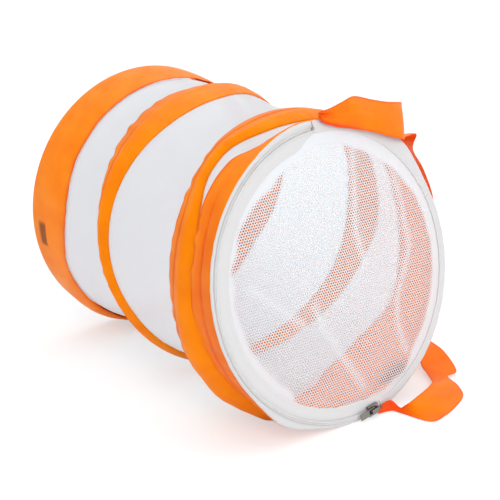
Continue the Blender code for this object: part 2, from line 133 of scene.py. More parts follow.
# Casing of the spiral wire: turn in degrees, then its back and front edges along the axis,
# as shares of the hoop radius. Its rows were placed from points in the photograph
casing_edge_shares = (
    (-150, 0.935, 0.860), (-130, 0.930, 0.790), (-105, 0.915, 0.650), (-75, 0.800, 0.490),
    (-50, 0.670, 0.330), (-25, 0.520, 0.170), (0, 0.370, 0.020), (15, 0.375, 0.000),
    (30, 0.360, 0.020), (45, 0.330, 0.060), (60, 0.290, 0.090), (75, 0.240, 0.100),
    (90, 0.200, 0.085), (105, 0.160, 0.040), (120, 0.080, -0.030), (150, 0.010, -0.120),
    (180, -0.050, -0.210), (210, -0.100, -0.300), (225, -0.140, -0.360), (240, -0.180, -0.420),
    (255, -0.200, -0.490), (270, -0.210, -0.550), (285, -0.250, -0.570), (300, -0.320, -0.600),
    (330, -0.430, -0.680), (345, -0.490, -0.740), (360, -0.520, -0.772), (375, -0.530, -0.748),
    (390, -0.540, -0.680), (399, -0.565, -0.682), (407, -0.588, -0.710), (420, -0.620, -0.810),
    (435, -0.642, -0.890), (450, -0.662, -0.948), (465, -0.682, -1.000), (480, -0.690, -1.040),
    (500, -0.740, -1.090), (520, -0.840, -1.140), (540, -0.960, -1.200),
)

# How far the casing's ridge stands out, as a share of its full height
casing_height_shares = ((-150, 0.15), (-110, 0.30), (-90, 1.0), (440, 1.0), (490, 0.80), (540, 0.45))

# Sewn edges of the two bands: angle in degrees, and place along the axis as a share of the radius.
# Where they show, their rows were placed from points in the photograph
back_band_shares = (
    (0, 0.720), (30, 0.715), (60, 0.700), (80, 0.670), (95, 0.700), (110, 0.770),
    (140, 0.790), (180, 0.760), (230, 0.740), (290, 0.730), (340, 0.722), (360, 0.720),
)
front_band_shares = (
    (0, -0.875), (18, -0.885), (27, -0.872), (36, -0.802), (46, -0.800), (54, -0.820),
    (62, -0.860), (75, -0.905), (90, -0.930), (120, -0.955), (145, -0.970),
    (165, -0.925), (180, -0.850), (198, -0.775), (218, -0.770), (238, -0.845), (252, -0.810),
    (268, -0.770), (285, -0.735), (315, -0.760), (340, -0.840), (360, -0.875),
)

# Where the lid's net starts to lie double along its hem: angle in degrees, and share of the radius
lid_hem_shares = (
    (0, 0.84), (20, 0.79), (35, 0.77), (50, 0.81), (80, 0.81), (120, 0.79), (143, 0.80), (153, 0.91),
    (170, 0.89), (185, 0.870), (200, 0.870), (212, 0.890), (225, 0.855), (250, 0.850), (270, 0.850),
    (300, 0.840), (330, 0.82), (360, 0.84),
)

# Loose cloth past the hoop: angle in degrees, how far it stands out, and how wide the place is in degrees
rim_slack = ((10, 0.0026, 18), (146, 0.0034, 11), (319, 0.0056, 14))

# How far the spiral casing hangs loose at the lower left: turn in degrees, and distance
casing_slack = (
    (425, 0.0), (445, 0.0015), (455, 0.0035), (463, 0.0052), (475, 0.0078), (485, 0.0084), (492, 0.0100),
    (500, 0.0094), (508, 0.0092), (515, 0.0096), (524, 0.0050), (535, 0.0),
)

# Creases where the lid's net lies double: points across and up the face, as shares of the radius,
# worked out by a program from points in the photograph
lid_crease_shares = (
    ((0.262, 0.867), (0.225, 0.590), (0.186, 0.299), (0.199, 0.162), (0.230, 0.021)),
    ((-0.232, -0.154), (-0.189, -0.298), (-0.087, -0.464), (0.015, -0.642), (0.099, -0.782)),
    ((0.583, 0.629), (0.607, 0.374), (0.634, 0.072), (0.585, -0.057), (0.518, -0.181),
     (0.482, -0.291), (0.473, -0.464), (0.521, -0.638)),
    ((-0.704, 0.067), (-0.617, -0.017), (-0.491, -0.124), (-0.348, -0.245)),
)

# Strap: near and far edges from its top end to its bottom end, as shares of the radius,
# counted from the front plane's centre line. Many of its rows were worked out by a program from
# points in the photograph, at a depth that was chosen
strap_near_shares = (
    (0.000, 0.202, 0.985), (0.033, 0.190, 0.948), (0.136, 0.180, 0.910), (0.261, 0.165, 0.882),
    (0.422, 0.150, 0.839), (0.570, 0.135, 0.788), (0.701, 0.140, 0.748), (0.800, 0.250, 0.714),
    (0.884, 0.310, 0.700), (1.045, 0.360, 0.685), (1.031, 0.374, 0.574), (1.157, 0.374, 0.394),
    (1.278, 0.379, 0.122), (1.262, 0.389, -0.230), (1.200, 0.354, -0.520), (1.100, 0.214, -0.740),
    (0.915, 0.084, -0.917), (0.842, -0.056, -0.950), (0.777, -0.166, -0.948), (0.690, -0.236, -0.922),
    (0.585, -0.286, -0.913), (0.468, -0.326, -0.910), (0.377, -0.346, -0.919), (0.362, -0.316, -0.949),
    (0.351, -0.286, -0.971), (0.298, -0.246, -0.916), (0.227, -0.229, -0.937),
)
strap_far_shares = (
    (0.016, 0.226, 1.012), (0.086, 0.205, 1.032), (0.189, 0.199, 1.062), (0.303, 0.215, 1.081),
    (0.474, 0.230, 1.034), (0.614, 0.224, 1.000), (0.798, 0.274, 0.962), (0.880, 0.424, 0.900),
    (0.983, 0.500, 0.690), (1.065, 0.550, 0.623), (1.082, 0.575, 0.579), (1.155, 0.612, 0.440),
    (1.250, 0.634, 0.090), (1.260, 0.684, -0.240), (1.230, 0.564, -0.600), (1.200, 0.384, -0.860),
    (1.180, 0.114, -0.925), (1.069, -0.127, -0.965), (0.948, -0.156, -0.964), (0.934, -0.266, -0.987),
    (0.846, -0.402, -0.988), (0.692, -0.483, -0.988), (0.539, -0.531, -0.988), (0.395, -0.533, -0.988),
    (0.326, -0.336, -0.988), (0.293, -0.265, -0.988), (0.191, -0.241, -0.988),
)


def linear_colour(hex_text):
    """An sRGB hex colour as linear red, green and blue."""
    parts = [int(hex_text[i : i + 2], 16) / 255 for i in (1, 3, 5)]
    return tuple(c / 12.92 if c <= 0.04045 else ((c + 0.055) / 1.055) ** 2.4 for c in parts)


def length_property(name, description, default):
    return bpy.props.FloatProperty(
        name=name, description=description, default=default, min=0.0, unit="LENGTH", precision=5
    )


def colour_property(name, description, hex_text):
    return bpy.props.FloatVectorProperty(
        name=name,
        description=description,
        default=linear_colour(hex_text),
        size=3,
        min=0.0,
        max=1.0,
        subtype="COLOR",
    )


class InsectCageSizes(bpy.types.PropertyGroup):
    """Sizes of the cloth, net and zipper."""

    satin: length_property("Satin", "Thickness of the orange satin", 0.00045)
    tape: length_property("Tape", "Thickness of the zipper tape", 0.00045)
    pucker: length_property("Pucker", "Height of the gathers along a sewn edge", 0.0006)
    pucker_length: length_property("Pucker length", "Distance between two gathers", 0.0140)
    net_pitch: length_property("Net pitch", "Distance between two holes of the net", 0.0015)
    net_hole: bpy.props.FloatProperty(
        name="Net hole", description="Radius of a hole beside the pitch", default=0.33, subtype="FACTOR"
    )
    net_sag: bpy.props.FloatProperty(
        name="Net sag",
        description="How far the net pulls in between its supports, beside their distance",
        default=0.055,
        subtype="FACTOR",
    )
    lid_bulge: length_property("Lid bulge", "How far the lid's net stands out in its middle", 0.0035)
    coil_pitch: length_property("Coil pitch", "Distance between two turns of the zipper coil", 0.0011)
    coil_thread: length_property("Coil thread", "Radius of the coil's nylon thread", 0.00025)


class InsectCageColours(bpy.types.PropertyGroup):
    """Colours of the cloth, net, zipper and floor."""

    satin: colour_property("Satin", "Orange of the bands and casing", "#FF930A")
    # Deeper orange used for painted shade in creases and at gathered edges, and for random deeper patches
    satin_tone_and_shade: colour_property("Satin fold", "Deeper orange where the satin folds", "#EE5C0C")
    strap: colour_property("Strap", "Orange of the ribbon strap", "#FB850A")
    net: colour_property("Net", "Thread of the net", "#EBF5F9")
    tape: colour_property("Tape", "Woven tape of the zipper", "#DCDBDB")
    coil: colour_property("Coil", "Nylon of the zipper coil", "#F0EFEF")
    clip: colour_property("Clip", "Lacquer of the crimp clips", "#3B2B24")
    floor: colour_property("Floor", "Paper under the cage", "#FFFFFF")


def eased(table, at):
    """Values between the rows of a table, on a curve that eases through each row."""
    rows = np.array(table, float)
    x, y = rows[:, 0], rows[:, 1]
    slope = np.gradient(y, x)
    slope[1:-1] = (y[2:] - y[:-2]) / (x[2:] - x[:-2])
    at = np.clip(np.asarray(at, float), x[0], x[-1])
    i = np.clip(np.searchsorted(x, at, side="right") - 1, 0, len(x) - 2)
    span = x[i + 1] - x[i]
    t = (at - x[i]) / span
    start = (1 + 2 * t) * (1 - t) ** 2 * y[i] + t * (1 - t) ** 2 * span * slope[i]
    return start + t * t * (3 - 2 * t) * y[i + 1] + t * t * (t - 1) * span * slope[i + 1]


def smooth_step(low, high, at):
    t = np.clip((np.asarray(at, float) - low) / (high - low), 0.0, 1.0)
    return t * t * (3 - 2 * t)


def front_points(angle, radius, ahead=0.0):
    """Points on the leaning front plane, at a height ahead of it."""
    angle, radius, ahead = np.broadcast_arrays(angle, radius, ahead)
    up = radius * np.cos(angle)
    y = front_centre + up * math.sin(front_lean) - ahead * math.cos(front_lean)
    z = hoop_radius * (math.cos(front_lean) - 1) + up * math.cos(front_lean) + ahead * math.sin(front_lean)
    return np.stack((-radius * np.sin(angle), y, z), axis=-1)


def front_y(angle, radius=hoop_radius):
    return front_centre + radius * np.cos(angle) * math.sin(front_lean)


def wall_points(angle, radius, y):
    """Points of the tube wall: upright behind the skirt, then turning to the front plane."""
    angle, radius, y = np.broadcast_arrays(angle, radius, y)
    across = -radius * np.sin(angle)
    upright = np.stack((across, np.maximum(y, skirt_start), radius * np.cos(angle)), axis=-1)
    end = front_points(angle, radius)
    share = np.maximum(skirt_start - y, 0.0) / (skirt_start - end[..., 1])
    return upright + (end - upright) * share[..., None] * (y < skirt_start)[..., None]


def rested(points):
    """The points, raised to the flat that the cage stands on."""
    points = points.copy()
    points[..., 2] = np.maximum(points[..., 2], -flat_height)
    return points


def uneven_wave(turn, waves, seed):
    """A smooth uneven wave round a ring, from about -1 to 1, with about this many crests."""
    draw = np.random.default_rng(seed)
    counts = np.round(waves * draw.uniform(0.6, 1.4, 6))
    phases = draw.uniform(0.0, math.tau, 6)
    return sum(np.sin(c * turn + p) for c, p in zip(counts, phases)) / 3.2


def bunched(turn, waves, seed):
    """Uneven gathers that come in bunches, as along a sewn edge."""
    return uneven_wave(turn, waves, seed) * (0.6 + 0.7 * uneven_wave(turn, waves / 6, seed + 100))


def soft_wrinkles(across, along, length, lean, seed):
    """Long uneven wrinkles over a cloth, running mostly along it."""
    draw = np.random.default_rng(seed)
    total = 0.0
    for _ in range(6):
        size = length * draw.uniform(0.6, 1.5)
        slant = lean * draw.uniform(-1.0, 1.0)
        total = total + np.sin(math.tau * (across + slant * along) / size + draw.uniform(0.0, math.tau))
    return total / 3.2


def grid_normals(points, closed):
    """Unit normals of a grid of points."""
    if closed:
        along = np.roll(points, -1, axis=0) - np.roll(points, 1, axis=0)
    else:
        along = np.gradient(points, axis=0)
    found = np.cross(along, np.gradient(points, axis=1))
    return found / np.maximum(np.linalg.norm(found, axis=-1, keepdims=True), 1e-12)


def places_across(points):
    """How far across a cloth each of its points is, in metres from its first edge."""
    steps = np.linalg.norm(np.diff(points, axis=1), axis=-1)
    return np.concatenate((np.zeros((len(points), 1)), np.cumsum(steps, axis=1)), axis=1)


def measured(points, closed):
    """Cloth coordinates of a grid, in metres: the mean length along its rows, and each place across them."""
    along = np.linalg.norm(np.diff(points, axis=0, append=points[:1]), axis=-1).mean(axis=1)
    along = np.concatenate(((0.0,), np.cumsum(along)))
    if not closed:
        along = along[:-1]
    across = places_across(points)
    if closed:
        across = np.concatenate((across, across[:1]), axis=0)
    return np.stack((np.broadcast_to(along[:, None], across.shape), across), axis=-1)


def grid_object(name, points, flat, closed, ringed=False, marks=None):
    """An object over a grid of points about the cage's axis.

    closed joins the last row to the first, and ringed the last column to the first.
    """
    rows, columns = points.shape[:2]
    i, j = np.meshgrid(
        np.arange(rows if closed else rows - 1),
        np.arange(columns if ringed else columns - 1),
        indexing="ij",
    )
    i, j = i.ravel(), j.ravel()
    steps = ((0, 0), (1, 0), (1, 1), (0, 1))
    faces = np.stack([((i + a) % rows) * columns + (j + b) % columns for a, b in steps], axis=1)
    uvs = np.stack([flat[i + a, j + b] for a, b in steps], axis=1).reshape(-1, 2)
    mesh = bpy.data.meshes.new(name)
    mesh.from_pydata((points.reshape(-1, 3) + axis).tolist(), [], faces.tolist())
    layer = mesh.uv_layers.new(name="cloth")
    layer.data.foreach_set("uv", uvs.astype(np.float32).ravel())
    for mark, values in (marks or {}).items():
        attribute = mesh.attributes.new(mark, "FLOAT", "POINT")
        spread = np.broadcast_to(values, (rows, columns)).astype(np.float32)
        attribute.data.foreach_set("value", spread.ravel())
    mesh.shade_smooth()
    made = bpy.data.objects.new(name, mesh)
    bpy.context.scene.collection.objects.link(made)
    return made


def close_ends(made):
    """Fills the open ends of a swept shape and turns its faces outwards."""
    work = bmesh.new()
    work.from_mesh(made.data)
    rim = [edge for edge in work.edges if edge.is_boundary]
    if rim:
        bmesh.ops.holes_fill(work, edges=rim, sides=0)
    bmesh.ops.recalc_face_normals(work, faces=work.faces)
    work.to_mesh(made.data)
    work.free()
    made.data.set_sharp_from_angle(angle=math.radians(60))


def join_middle(made):
    """Joins the points that lie together in the middle of a disc."""
    work = bmesh.new()
    work.from_mesh(made.data)
    bmesh.ops.remove_doubles(work, verts=work.verts, dist=1e-6)
    work.to_mesh(made.data)
    work.free()


def thick_cloth(name, points, thickness, closed, marks=None):
    """A cloth with two faces, from a grid of points along its middle."""
    normals = grid_normals(points, closed)
    half = thickness / 2
    shell = np.concatenate((points + normals * half, (points - normals * half)[:, ::-1]), axis=1)
    flat = measured(points, closed)
    flat = np.concatenate((flat, flat[:, ::-1], flat[:, :1]), axis=1)
    both = {mark: np.concatenate((v, v[:, ::-1]), axis=1) for mark, v in (marks or {}).items()}
    made = grid_object(name, shell, flat, closed, ringed=True, marks=both)
    close_ends(made)
    return made


def thread_object(name, centres, out, up, radius, sides):
    """A round thread along a line of centres, with its two cross directions at each."""
    turns = math.tau * np.arange(sides) / sides
    points = (
        centres[:, None]
        + out[:, None] * (radius * np.cos(turns))[None, :, None]
        + up[:, None] * (radius * np.sin(turns))[None, :, None]
    )
    along = np.concatenate(((0.0,), np.cumsum(np.linalg.norm(np.diff(centres, axis=0), axis=1))))
    round_it = math.tau * radius * np.arange(sides + 1) / sides
    flat = np.stack(np.broadcast_arrays(along[:, None], round_it[None]), axis=-1)
    made = grid_object(name, points, flat, closed=False, ringed=True)
    close_ends(made)
    return made


def cut_at_seam(made, rear_name, front_name):
    """Cuts an object in two where the collapsing part of the cage meets the skirt."""
    place = (0.0, axis[1] + collapse_seam, 0.0)
    halves = []
    for name, front in ((rear_name, False), (front_name, True)):
        half = bpy.data.objects.new(name, made.data.copy())
        half.data.name = name
        bpy.context.scene.collection.objects.link(half)
        work = bmesh.new()
        work.from_mesh(half.data)
        bmesh.ops.bisect_plane(
            work,
            geom=work.verts[:] + work.edges[:] + work.faces[:],
            plane_co=place,
            plane_no=(0.0, 1.0, 0.0),
            clear_outer=front,
            clear_inner=not front,
        )
        rim = [edge for edge in work.edges if edge.is_boundary]
        bmesh.ops.holes_fill(work, edges=rim, sides=0)
        work.to_mesh(half.data)
        work.free()
        halves.append(half)
    bpy.data.objects.remove(made)
    return halves


def finish_piece(made, material, slot, *nodes):
    """Gives a piece its material and says which nodes it replaces. Its slot is not used."""
    made.data.materials.clear()
    made.data.materials.append(material)
    if nodes:
        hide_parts(*nodes)


def collapse_with_cage(made):
    """Attaches the piece to the cage's base and gives it a mesh of its own."""
    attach(made, "cage_base")
    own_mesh(made)


def tilt_with_front(made):
    """Bakes the piece's transform into its mesh."""
    centre = front_points(0.0, 0.0) + axis
    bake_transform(made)


def add_node(tree, kind, settings=None, inputs=None):
    """Adds a node, sets its properties, and gives each input a value or the socket that feeds it."""
    node = tree.nodes.new(kind)
    for name, value in (settings or {}).items():
        setattr(node, name, value)
    for key, value in (inputs or {}).items():
        if isinstance(value, bpy.types.NodeSocket):
            tree.links.new(value, node.inputs[key])
        else:
            node.inputs[key].default_value = value
    return node


def new_tree(name):
    made = bpy.data.materials.new(name)
    made.use_nodes = True
    made.node_tree.nodes.clear()
    return made, made.node_tree


def rgba(colour):
    return (*colour, 1.0)


def wave_scale(period):
    """The Wave texture's scale for bands this far apart."""
    return math.tau / (20 * period)


def stitch_row(tree, seam, along, inset, soft, length, sewn):
    """A row of stitches beside a sewn edge, 1 on its thread and 0 off it.

    inset is how far it is from the edge, soft where its thread fades out, length that of one
    stitch, and sewn the share of a stitch that shows.
    """
    off_line = add_node(tree, "ShaderNodeMath", {"operation": "SUBTRACT"}, {0: seam, 1: inset})
    distance = add_node(tree, "ShaderNodeMath", {"operation": "ABSOLUTE"}, {0: off_line.outputs[0]})
    line = add_node(
        tree,
        "ShaderNodeMapRange",
        {"interpolation_type": "SMOOTHSTEP"},
        {"Value": distance.outputs[0], "From Min": 0.0002, "From Max": soft, "To Min": 1.0, "To Max": 0.0},
    )
    stitches = add_node(tree, "ShaderNodeMath", {"operation": "DIVIDE"}, {0: along, 1: length})
    part = add_node(tree, "ShaderNodeMath", {"operation": "FRACT"}, {0: stitches.outputs[0]})
    dash = add_node(tree, "ShaderNodeMath", {"operation": "LESS_THAN"}, {0: part.outputs[0], 1: sewn})
    stitch = add_node(
        tree, "ShaderNodeMath", {"operation": "MULTIPLY"}, {0: line.outputs["Result"], 1: dash.outputs[0]}
    )
    return stitch.outputs[0]


def polyester_satin(name, colour, tone_and_shade_colour):
    """Polyester satin ribbon, woven with long floats: a soft broad shine, and painted shade that deepens its
    orange where it folds and along its sewn edges.
    """
    made, tree = new_tree(name)
    cloth = add_node(tree, "ShaderNodeUVMap", {"uv_map": "cloth"}).outputs["UV"]
    place = add_node(tree, "ShaderNodeSeparateXYZ", inputs={"Vector": cloth})
    # The floats are 0.25 mm apart, and are drawn at 0.8 mm so that they show
    floats = add_node(
        tree,
        "ShaderNodeTexWave",
        {"wave_type": "BANDS", "bands_direction": "Y"},
        {"Vector": cloth, "Scale": wave_scale(0.0008), "Distortion": 0.6, "Detail": 1.0, "Detail Scale": 2.0},
    )
    clouds = add_node(
        tree, "ShaderNodeTexNoise", inputs={"Vector": cloth, "Scale": 1 / 0.018, "Detail": 3.0}
    )
    # A mark on each cloth carries painted shade, which deepens the colour in its creases and gathers
    fold_shade = add_node(tree, "ShaderNodeAttribute", {"attribute_name": "fold_shade"}).outputs["Fac"]
    uneven = add_node(
        tree,
        "ShaderNodeMapRange",
        inputs={
            "Value": clouds.outputs["Fac"],
            "From Min": 0.35,
            "From Max": 0.75,
            "To Min": 0.0,
            "To Max": 0.35,
        },
    )
    # Painted shade: the cloth is drawn a deeper colour along its sewn edges, where the seam gathers it, and
    # in its creases
    seam = add_node(tree, "ShaderNodeAttribute", {"attribute_name": "seam"}).outputs["Fac"]
    edge = add_node(
        tree,
        "ShaderNodeMapRange",
        inputs={"Value": seam, "From Min": 0.0, "From Max": 0.0022, "To Min": 0.5, "To Max": 0.0},
    )
    pulled_shade = add_node(tree, "ShaderNodeMath", {"operation": "ADD"}, {0: edge.outputs["Result"], 1: fold_shade})
    depth = add_node(
        tree,
        "ShaderNodeMath",
        {"operation": "ADD", "use_clamp": True},
        {0: uneven.outputs["Result"], 1: pulled_shade.outputs[0]},
    )
    base = add_node(
        tree,
        "ShaderNodeMix",
        {"data_type": "RGBA"},
        {"Factor": depth.outputs[0], "A": rgba(colour), "B": rgba(tone_and_shade_colour)},
    )
    # Lockstitch along the sewn edges: 2.8 mm stitches of matching thread, 2.2 mm from the edge
    stitch = stitch_row(tree, seam, place.outputs["X"], inset=0.0022, soft=0.0006, length=0.0028, sewn=0.72)
    # Painted shade: the dark clip under the thin satin and its shadow are painted on the cloth as a brown
    # patch
    clip = add_node(tree, "ShaderNodeAttribute", {"attribute_name": "clip"}).outputs["Fac"]
    painted_clip_shade = add_node(tree, "ShaderNodeMath", {"operation": "MULTIPLY"}, {0: clip, 1: 0.85})
    final = add_node(
        tree,
        "ShaderNodeMix",
        {"data_type": "RGBA"},
        {"Factor": painted_clip_shade.outputs[0], "A": base.outputs["Result"], "B": rgba(linear_colour("#7A3512"))},
    ).outputs["Result"]
    height = add_node(
        tree,
        "ShaderNodeMath",
        {"operation": "MULTIPLY_ADD"},
        {0: stitch, 1: 1.5, 2: floats.outputs["Fac"]},
    )
    bump = add_node(
        tree,
        "ShaderNodeBump",
        inputs={"Height": height.outputs[0], "Strength": 0.35, "Distance": 0.0001},
    )
    shine = add_node(
        tree,
        "ShaderNodeMapRange",
        inputs={
            "Value": clouds.outputs["Fac"],
            "From Min": 0.3,
            "From Max": 0.7,
            "To Min": 0.36,
            "To Max": 0.5,
        },
    )
    satin = add_node(
        tree,
        "ShaderNodeBsdfPrincipled",
        inputs={
            "Base Color": final,
            "Roughness": shine.outputs["Result"],
            "IOR": 1.5,
            "Specular Tint": rgba(linear_colour("#FFA030")),
            "Sheen Weight": 0.08,
            "Sheen Roughness": 0.35,
            "Sheen Tint": rgba(linear_colour("#FF8A10")),
            "Normal": bump.outputs["Normal"],
        },
    )
    glow = add_node(tree, "ShaderNodeBsdfTranslucent", inputs={"Color": final})
    both = add_node(
        tree,
        "ShaderNodeMixShader",
        inputs={0: 0.22, 1: satin.outputs["BSDF"], 2: glow.outputs["BSDF"]},
    )
    add_node(tree, "ShaderNodeOutputMaterial", inputs={"Surface": both.outputs["Shader"]})
    return made


def knitted_net(name, colour, pitch, hole, soft, clear, through=0.50):
    """Polyester tulle, knitted with round holes in rows: matt white thread that lets light through.

    soft is how gradually a hole opens, beside the pitch, clear how open its middle is, and through
    the share of the light that its thread lets through.
    """
    made, tree = new_tree(name)
    cloth = add_node(tree, "ShaderNodeUVMap", {"uv_map": "cloth"}).outputs["UV"]
    row = math.sqrt(3)
    # Two sets of holes, half a step apart both ways, make the net's honeycomb
    centres = []
    for shift in (0.0, 0.5):
        moved = add_node(
            tree,
            "ShaderNodeVectorMath",
            {"operation": "MULTIPLY_ADD"},
            {0: cloth, 1: (1 / pitch, 1 / (pitch * row), 0.0), 2: (shift, shift, 0.0)},
        )
        part = add_node(tree, "ShaderNodeVectorMath", {"operation": "FRACTION"}, {0: moved.outputs[0]})
        from_middle = add_node(
            tree, "ShaderNodeVectorMath", {"operation": "SUBTRACT"}, {0: part.outputs[0], 1: (0.5, 0.5, 0.0)}
        )
        scaled = add_node(
            tree,
            "ShaderNodeVectorMath",
            {"operation": "MULTIPLY"},
            {0: from_middle.outputs[0], 1: (1.0, row, 0.0)},
        )
        length = add_node(tree, "ShaderNodeVectorMath", {"operation": "LENGTH"}, {0: scaled.outputs[0]})
        centres.append(length.outputs["Value"])
    nearest = add_node(tree, "ShaderNodeMath", {"operation": "MINIMUM"}, {0: centres[0], 1: centres[1]})
    # Where the net is gathered or lies double, its holes close
    gather = add_node(tree, "ShaderNodeAttribute", {"attribute_name": "gather"}).outputs["Fac"]
    radius = add_node(tree, "ShaderNodeMath", {"operation": "MULTIPLY_ADD"}, {0: gather, 1: -hole, 2: hole})
    beyond = add_node(
        tree, "ShaderNodeMath", {"operation": "SUBTRACT"}, {0: nearest.outputs[0], 1: radius.outputs[0]}
    )
    thread = add_node(
        tree,
        "ShaderNodeMapRange",
        {"interpolation_type": "SMOOTHSTEP"},
        {"Value": beyond.outputs[0], "From Min": -soft, "From Max": soft, "To Min": 1 - clear, "To Max": 1.0},
    ).outputs["Result"]
    # The net is sewn to the edges of the bands and the casing, and ends there
    cover = add_node(tree, "ShaderNodeAttribute", {"attribute_name": "cover"}).outputs["Fac"]
    left = add_node(
        tree,
        "ShaderNodeMapRange",
        inputs={"Value": cover, "From Min": 0.0012, "From Max": 0.0020, "To Min": 1.0, "To Max": 0.0},
    )
    thread = add_node(
        tree, "ShaderNodeMath", {"operation": "MULTIPLY"}, {0: thread, 1: left.outputs["Result"]}
    ).outputs[0]
    clouds = add_node(
        tree, "ShaderNodeTexNoise", inputs={"Vector": cloth, "Scale": 1 / 0.04, "Detail": 2.0}
    )
    shade = add_node(
        tree,
        "ShaderNodeMix",
        {"data_type": "RGBA"},
        {
            "Factor": clouds.outputs["Fac"],
            "A": rgba(colour),
            "B": rgba([c * s for c, s in zip(colour, (0.97, 0.95, 0.97))]),
        },
    ).outputs["Result"]
    bump = add_node(
        tree, "ShaderNodeBump", inputs={"Height": nearest.outputs[0], "Strength": 0.3, "Distance": 0.0002}
    )
    matt = add_node(
        tree,
        "ShaderNodeBsdfPrincipled",
        inputs={
            "Base Color": shade,
            "Roughness": 0.6,
            "IOR": 1.5,
            "Sheen Weight": 0.15,
            "Sheen Roughness": 0.5,
            "Normal": bump.outputs["Normal"],
        },
    )
    glow = add_node(tree, "ShaderNodeBsdfTranslucent", inputs={"Color": shade})
    # Double net lets less light through
    passed = add_node(
        tree, "ShaderNodeMath", {"operation": "MULTIPLY_ADD"}, {0: gather, 1: -0.08, 2: through}
    )
    lit = add_node(
        tree,
        "ShaderNodeMixShader",
        inputs={0: passed.outputs[0], 1: matt.outputs["BSDF"], 2: glow.outputs["BSDF"]},
    )
    empty = add_node(tree, "ShaderNodeBsdfTransparent")
    both = add_node(
        tree, "ShaderNodeMixShader", inputs={0: thread, 1: empty.outputs["BSDF"], 2: lit.outputs["Shader"]}
    )
    add_node(tree, "ShaderNodeOutputMaterial", inputs={"Surface": both.outputs["Shader"]})
    return made


def woven_tape(name, colour):
    """Woven polyester zipper tape: matt, with fine ribs along it and a row of stitches."""
    made, tree = new_tree(name)
    cloth = add_node(tree, "ShaderNodeUVMap", {"uv_map": "cloth"}).outputs["UV"]
    place = add_node(tree, "ShaderNodeSeparateXYZ", inputs={"Vector": cloth})
    # The ribs are 0.4 mm apart, and are drawn at 0.9 mm so that they show
    ribs = add_node(
        tree,
        "ShaderNodeTexWave",
        {"wave_type": "BANDS", "bands_direction": "DIAGONAL"},
        {"Vector": cloth, "Scale": wave_scale(0.0009), "Distortion": 0.3, "Detail": 1.0},
    )
    seam = add_node(tree, "ShaderNodeAttribute", {"attribute_name": "seam"}).outputs["Fac"]
    stitch = stitch_row(tree, seam, place.outputs["X"], inset=0.0018, soft=0.0005, length=0.0026, sewn=0.75)
    height = add_node(
        tree,
        "ShaderNodeMath",
        {"operation": "MULTIPLY_ADD"},
        {0: stitch, 1: 2.0, 2: ribs.outputs["Fac"]},
    )
    bump = add_node(
        tree, "ShaderNodeBump", inputs={"Height": height.outputs[0], "Strength": 0.4, "Distance": 0.00012}
    )
    # The grooves between the ribs are drawn 6 % darker than the ribs: painted shade
    shade = add_node(
        tree,
        "ShaderNodeMix",
        {"data_type": "RGBA"},
        {
            "Factor": ribs.outputs["Fac"],
            "A": rgba([c * 0.94 for c in colour]),
            "B": rgba(colour),
        },
    ).outputs["Result"]
    matt = add_node(
        tree,
        "ShaderNodeBsdfPrincipled",
        inputs={
            "Base Color": shade,
            "Roughness": 0.7,
            "IOR": 1.5,
            "Sheen Weight": 0.1,
            "Normal": bump.outputs["Normal"],
        },
    )
    glow = add_node(tree, "ShaderNodeBsdfTranslucent", inputs={"Color": shade})
    both = add_node(
        tree, "ShaderNodeMixShader", inputs={0: 0.2, 1: matt.outputs["BSDF"], 2: glow.outputs["BSDF"]}
    )
    add_node(tree, "ShaderNodeOutputMaterial", inputs={"Surface": both.outputs["Shader"]})
    return made


def nylon_coil(name, colour):
    """Nylon monofilament: a smooth, slightly waxy white with a soft highlight."""
    made, tree = new_tree(name)
    place = add_node(tree, "ShaderNodeTexCoord").outputs["Object"]
    clouds = add_node(tree, "ShaderNodeTexNoise", inputs={"Vector": place, "Scale": 1 / 0.004, "Detail": 2.0})
    shade = add_node(
        tree,
        "ShaderNodeMix",
        {"data_type": "RGBA"},
        {"Factor": clouds.outputs["Fac"], "A": rgba(colour), "B": rgba([c * 0.9 for c in colour])},
    )
    rough = add_node(
        tree,
        "ShaderNodeMapRange",
        inputs={"Value": clouds.outputs["Fac"], "To Min": 0.28, "To Max": 0.42},
    )
    nylon = add_node(
        tree,
        "ShaderNodeBsdfPrincipled",
        inputs={"Base Color": shade.outputs["Result"], "Roughness": rough.outputs["Result"], "IOR": 1.53},
    )
    add_node(tree, "ShaderNodeOutputMaterial", inputs={"Surface": nylon.outputs["BSDF"]})
    return made


def worn_metal(name, colour, roughness, grain, metallic=1.0):
    """A metal, or a lacquered one, with fine marks of its making at the grain's size and duller patches."""
    made, tree = new_tree(name)
    place = add_node(tree, "ShaderNodeTexCoord").outputs["Object"]
    marks = add_node(tree, "ShaderNodeTexNoise", inputs={"Vector": place, "Scale": 1 / grain, "Detail": 4.0})
    patches = add_node(
        tree, "ShaderNodeTexNoise", inputs={"Vector": place, "Scale": 1 / 0.003, "Detail": 2.0}
    )
    rough = add_node(
        tree,
        "ShaderNodeMapRange",
        inputs={
            "Value": patches.outputs["Fac"],
            "From Min": 0.3,
            "From Max": 0.7,
            "To Min": roughness * 0.8,
            "To Max": roughness * 1.3,
        },
    )
    shade = add_node(
        tree,
        "ShaderNodeMix",
        {"data_type": "RGBA"},
        {"Factor": patches.outputs["Fac"], "A": rgba(colour), "B": rgba([c * 0.82 for c in colour])},
    )
    bump = add_node(
        tree, "ShaderNodeBump", inputs={"Height": marks.outputs["Fac"], "Strength": 0.25, "Distance": 0.00003}
    )
    metal = add_node(
        tree,
        "ShaderNodeBsdfPrincipled",
        inputs={
            "Base Color": shade.outputs["Result"],
            "Metallic": metallic,
            "Roughness": rough.outputs["Result"],
            "Normal": bump.outputs["Normal"],
        },
    )
    add_node(tree, "ShaderNodeOutputMaterial", inputs={"Surface": metal.outputs["BSDF"]})
    return made


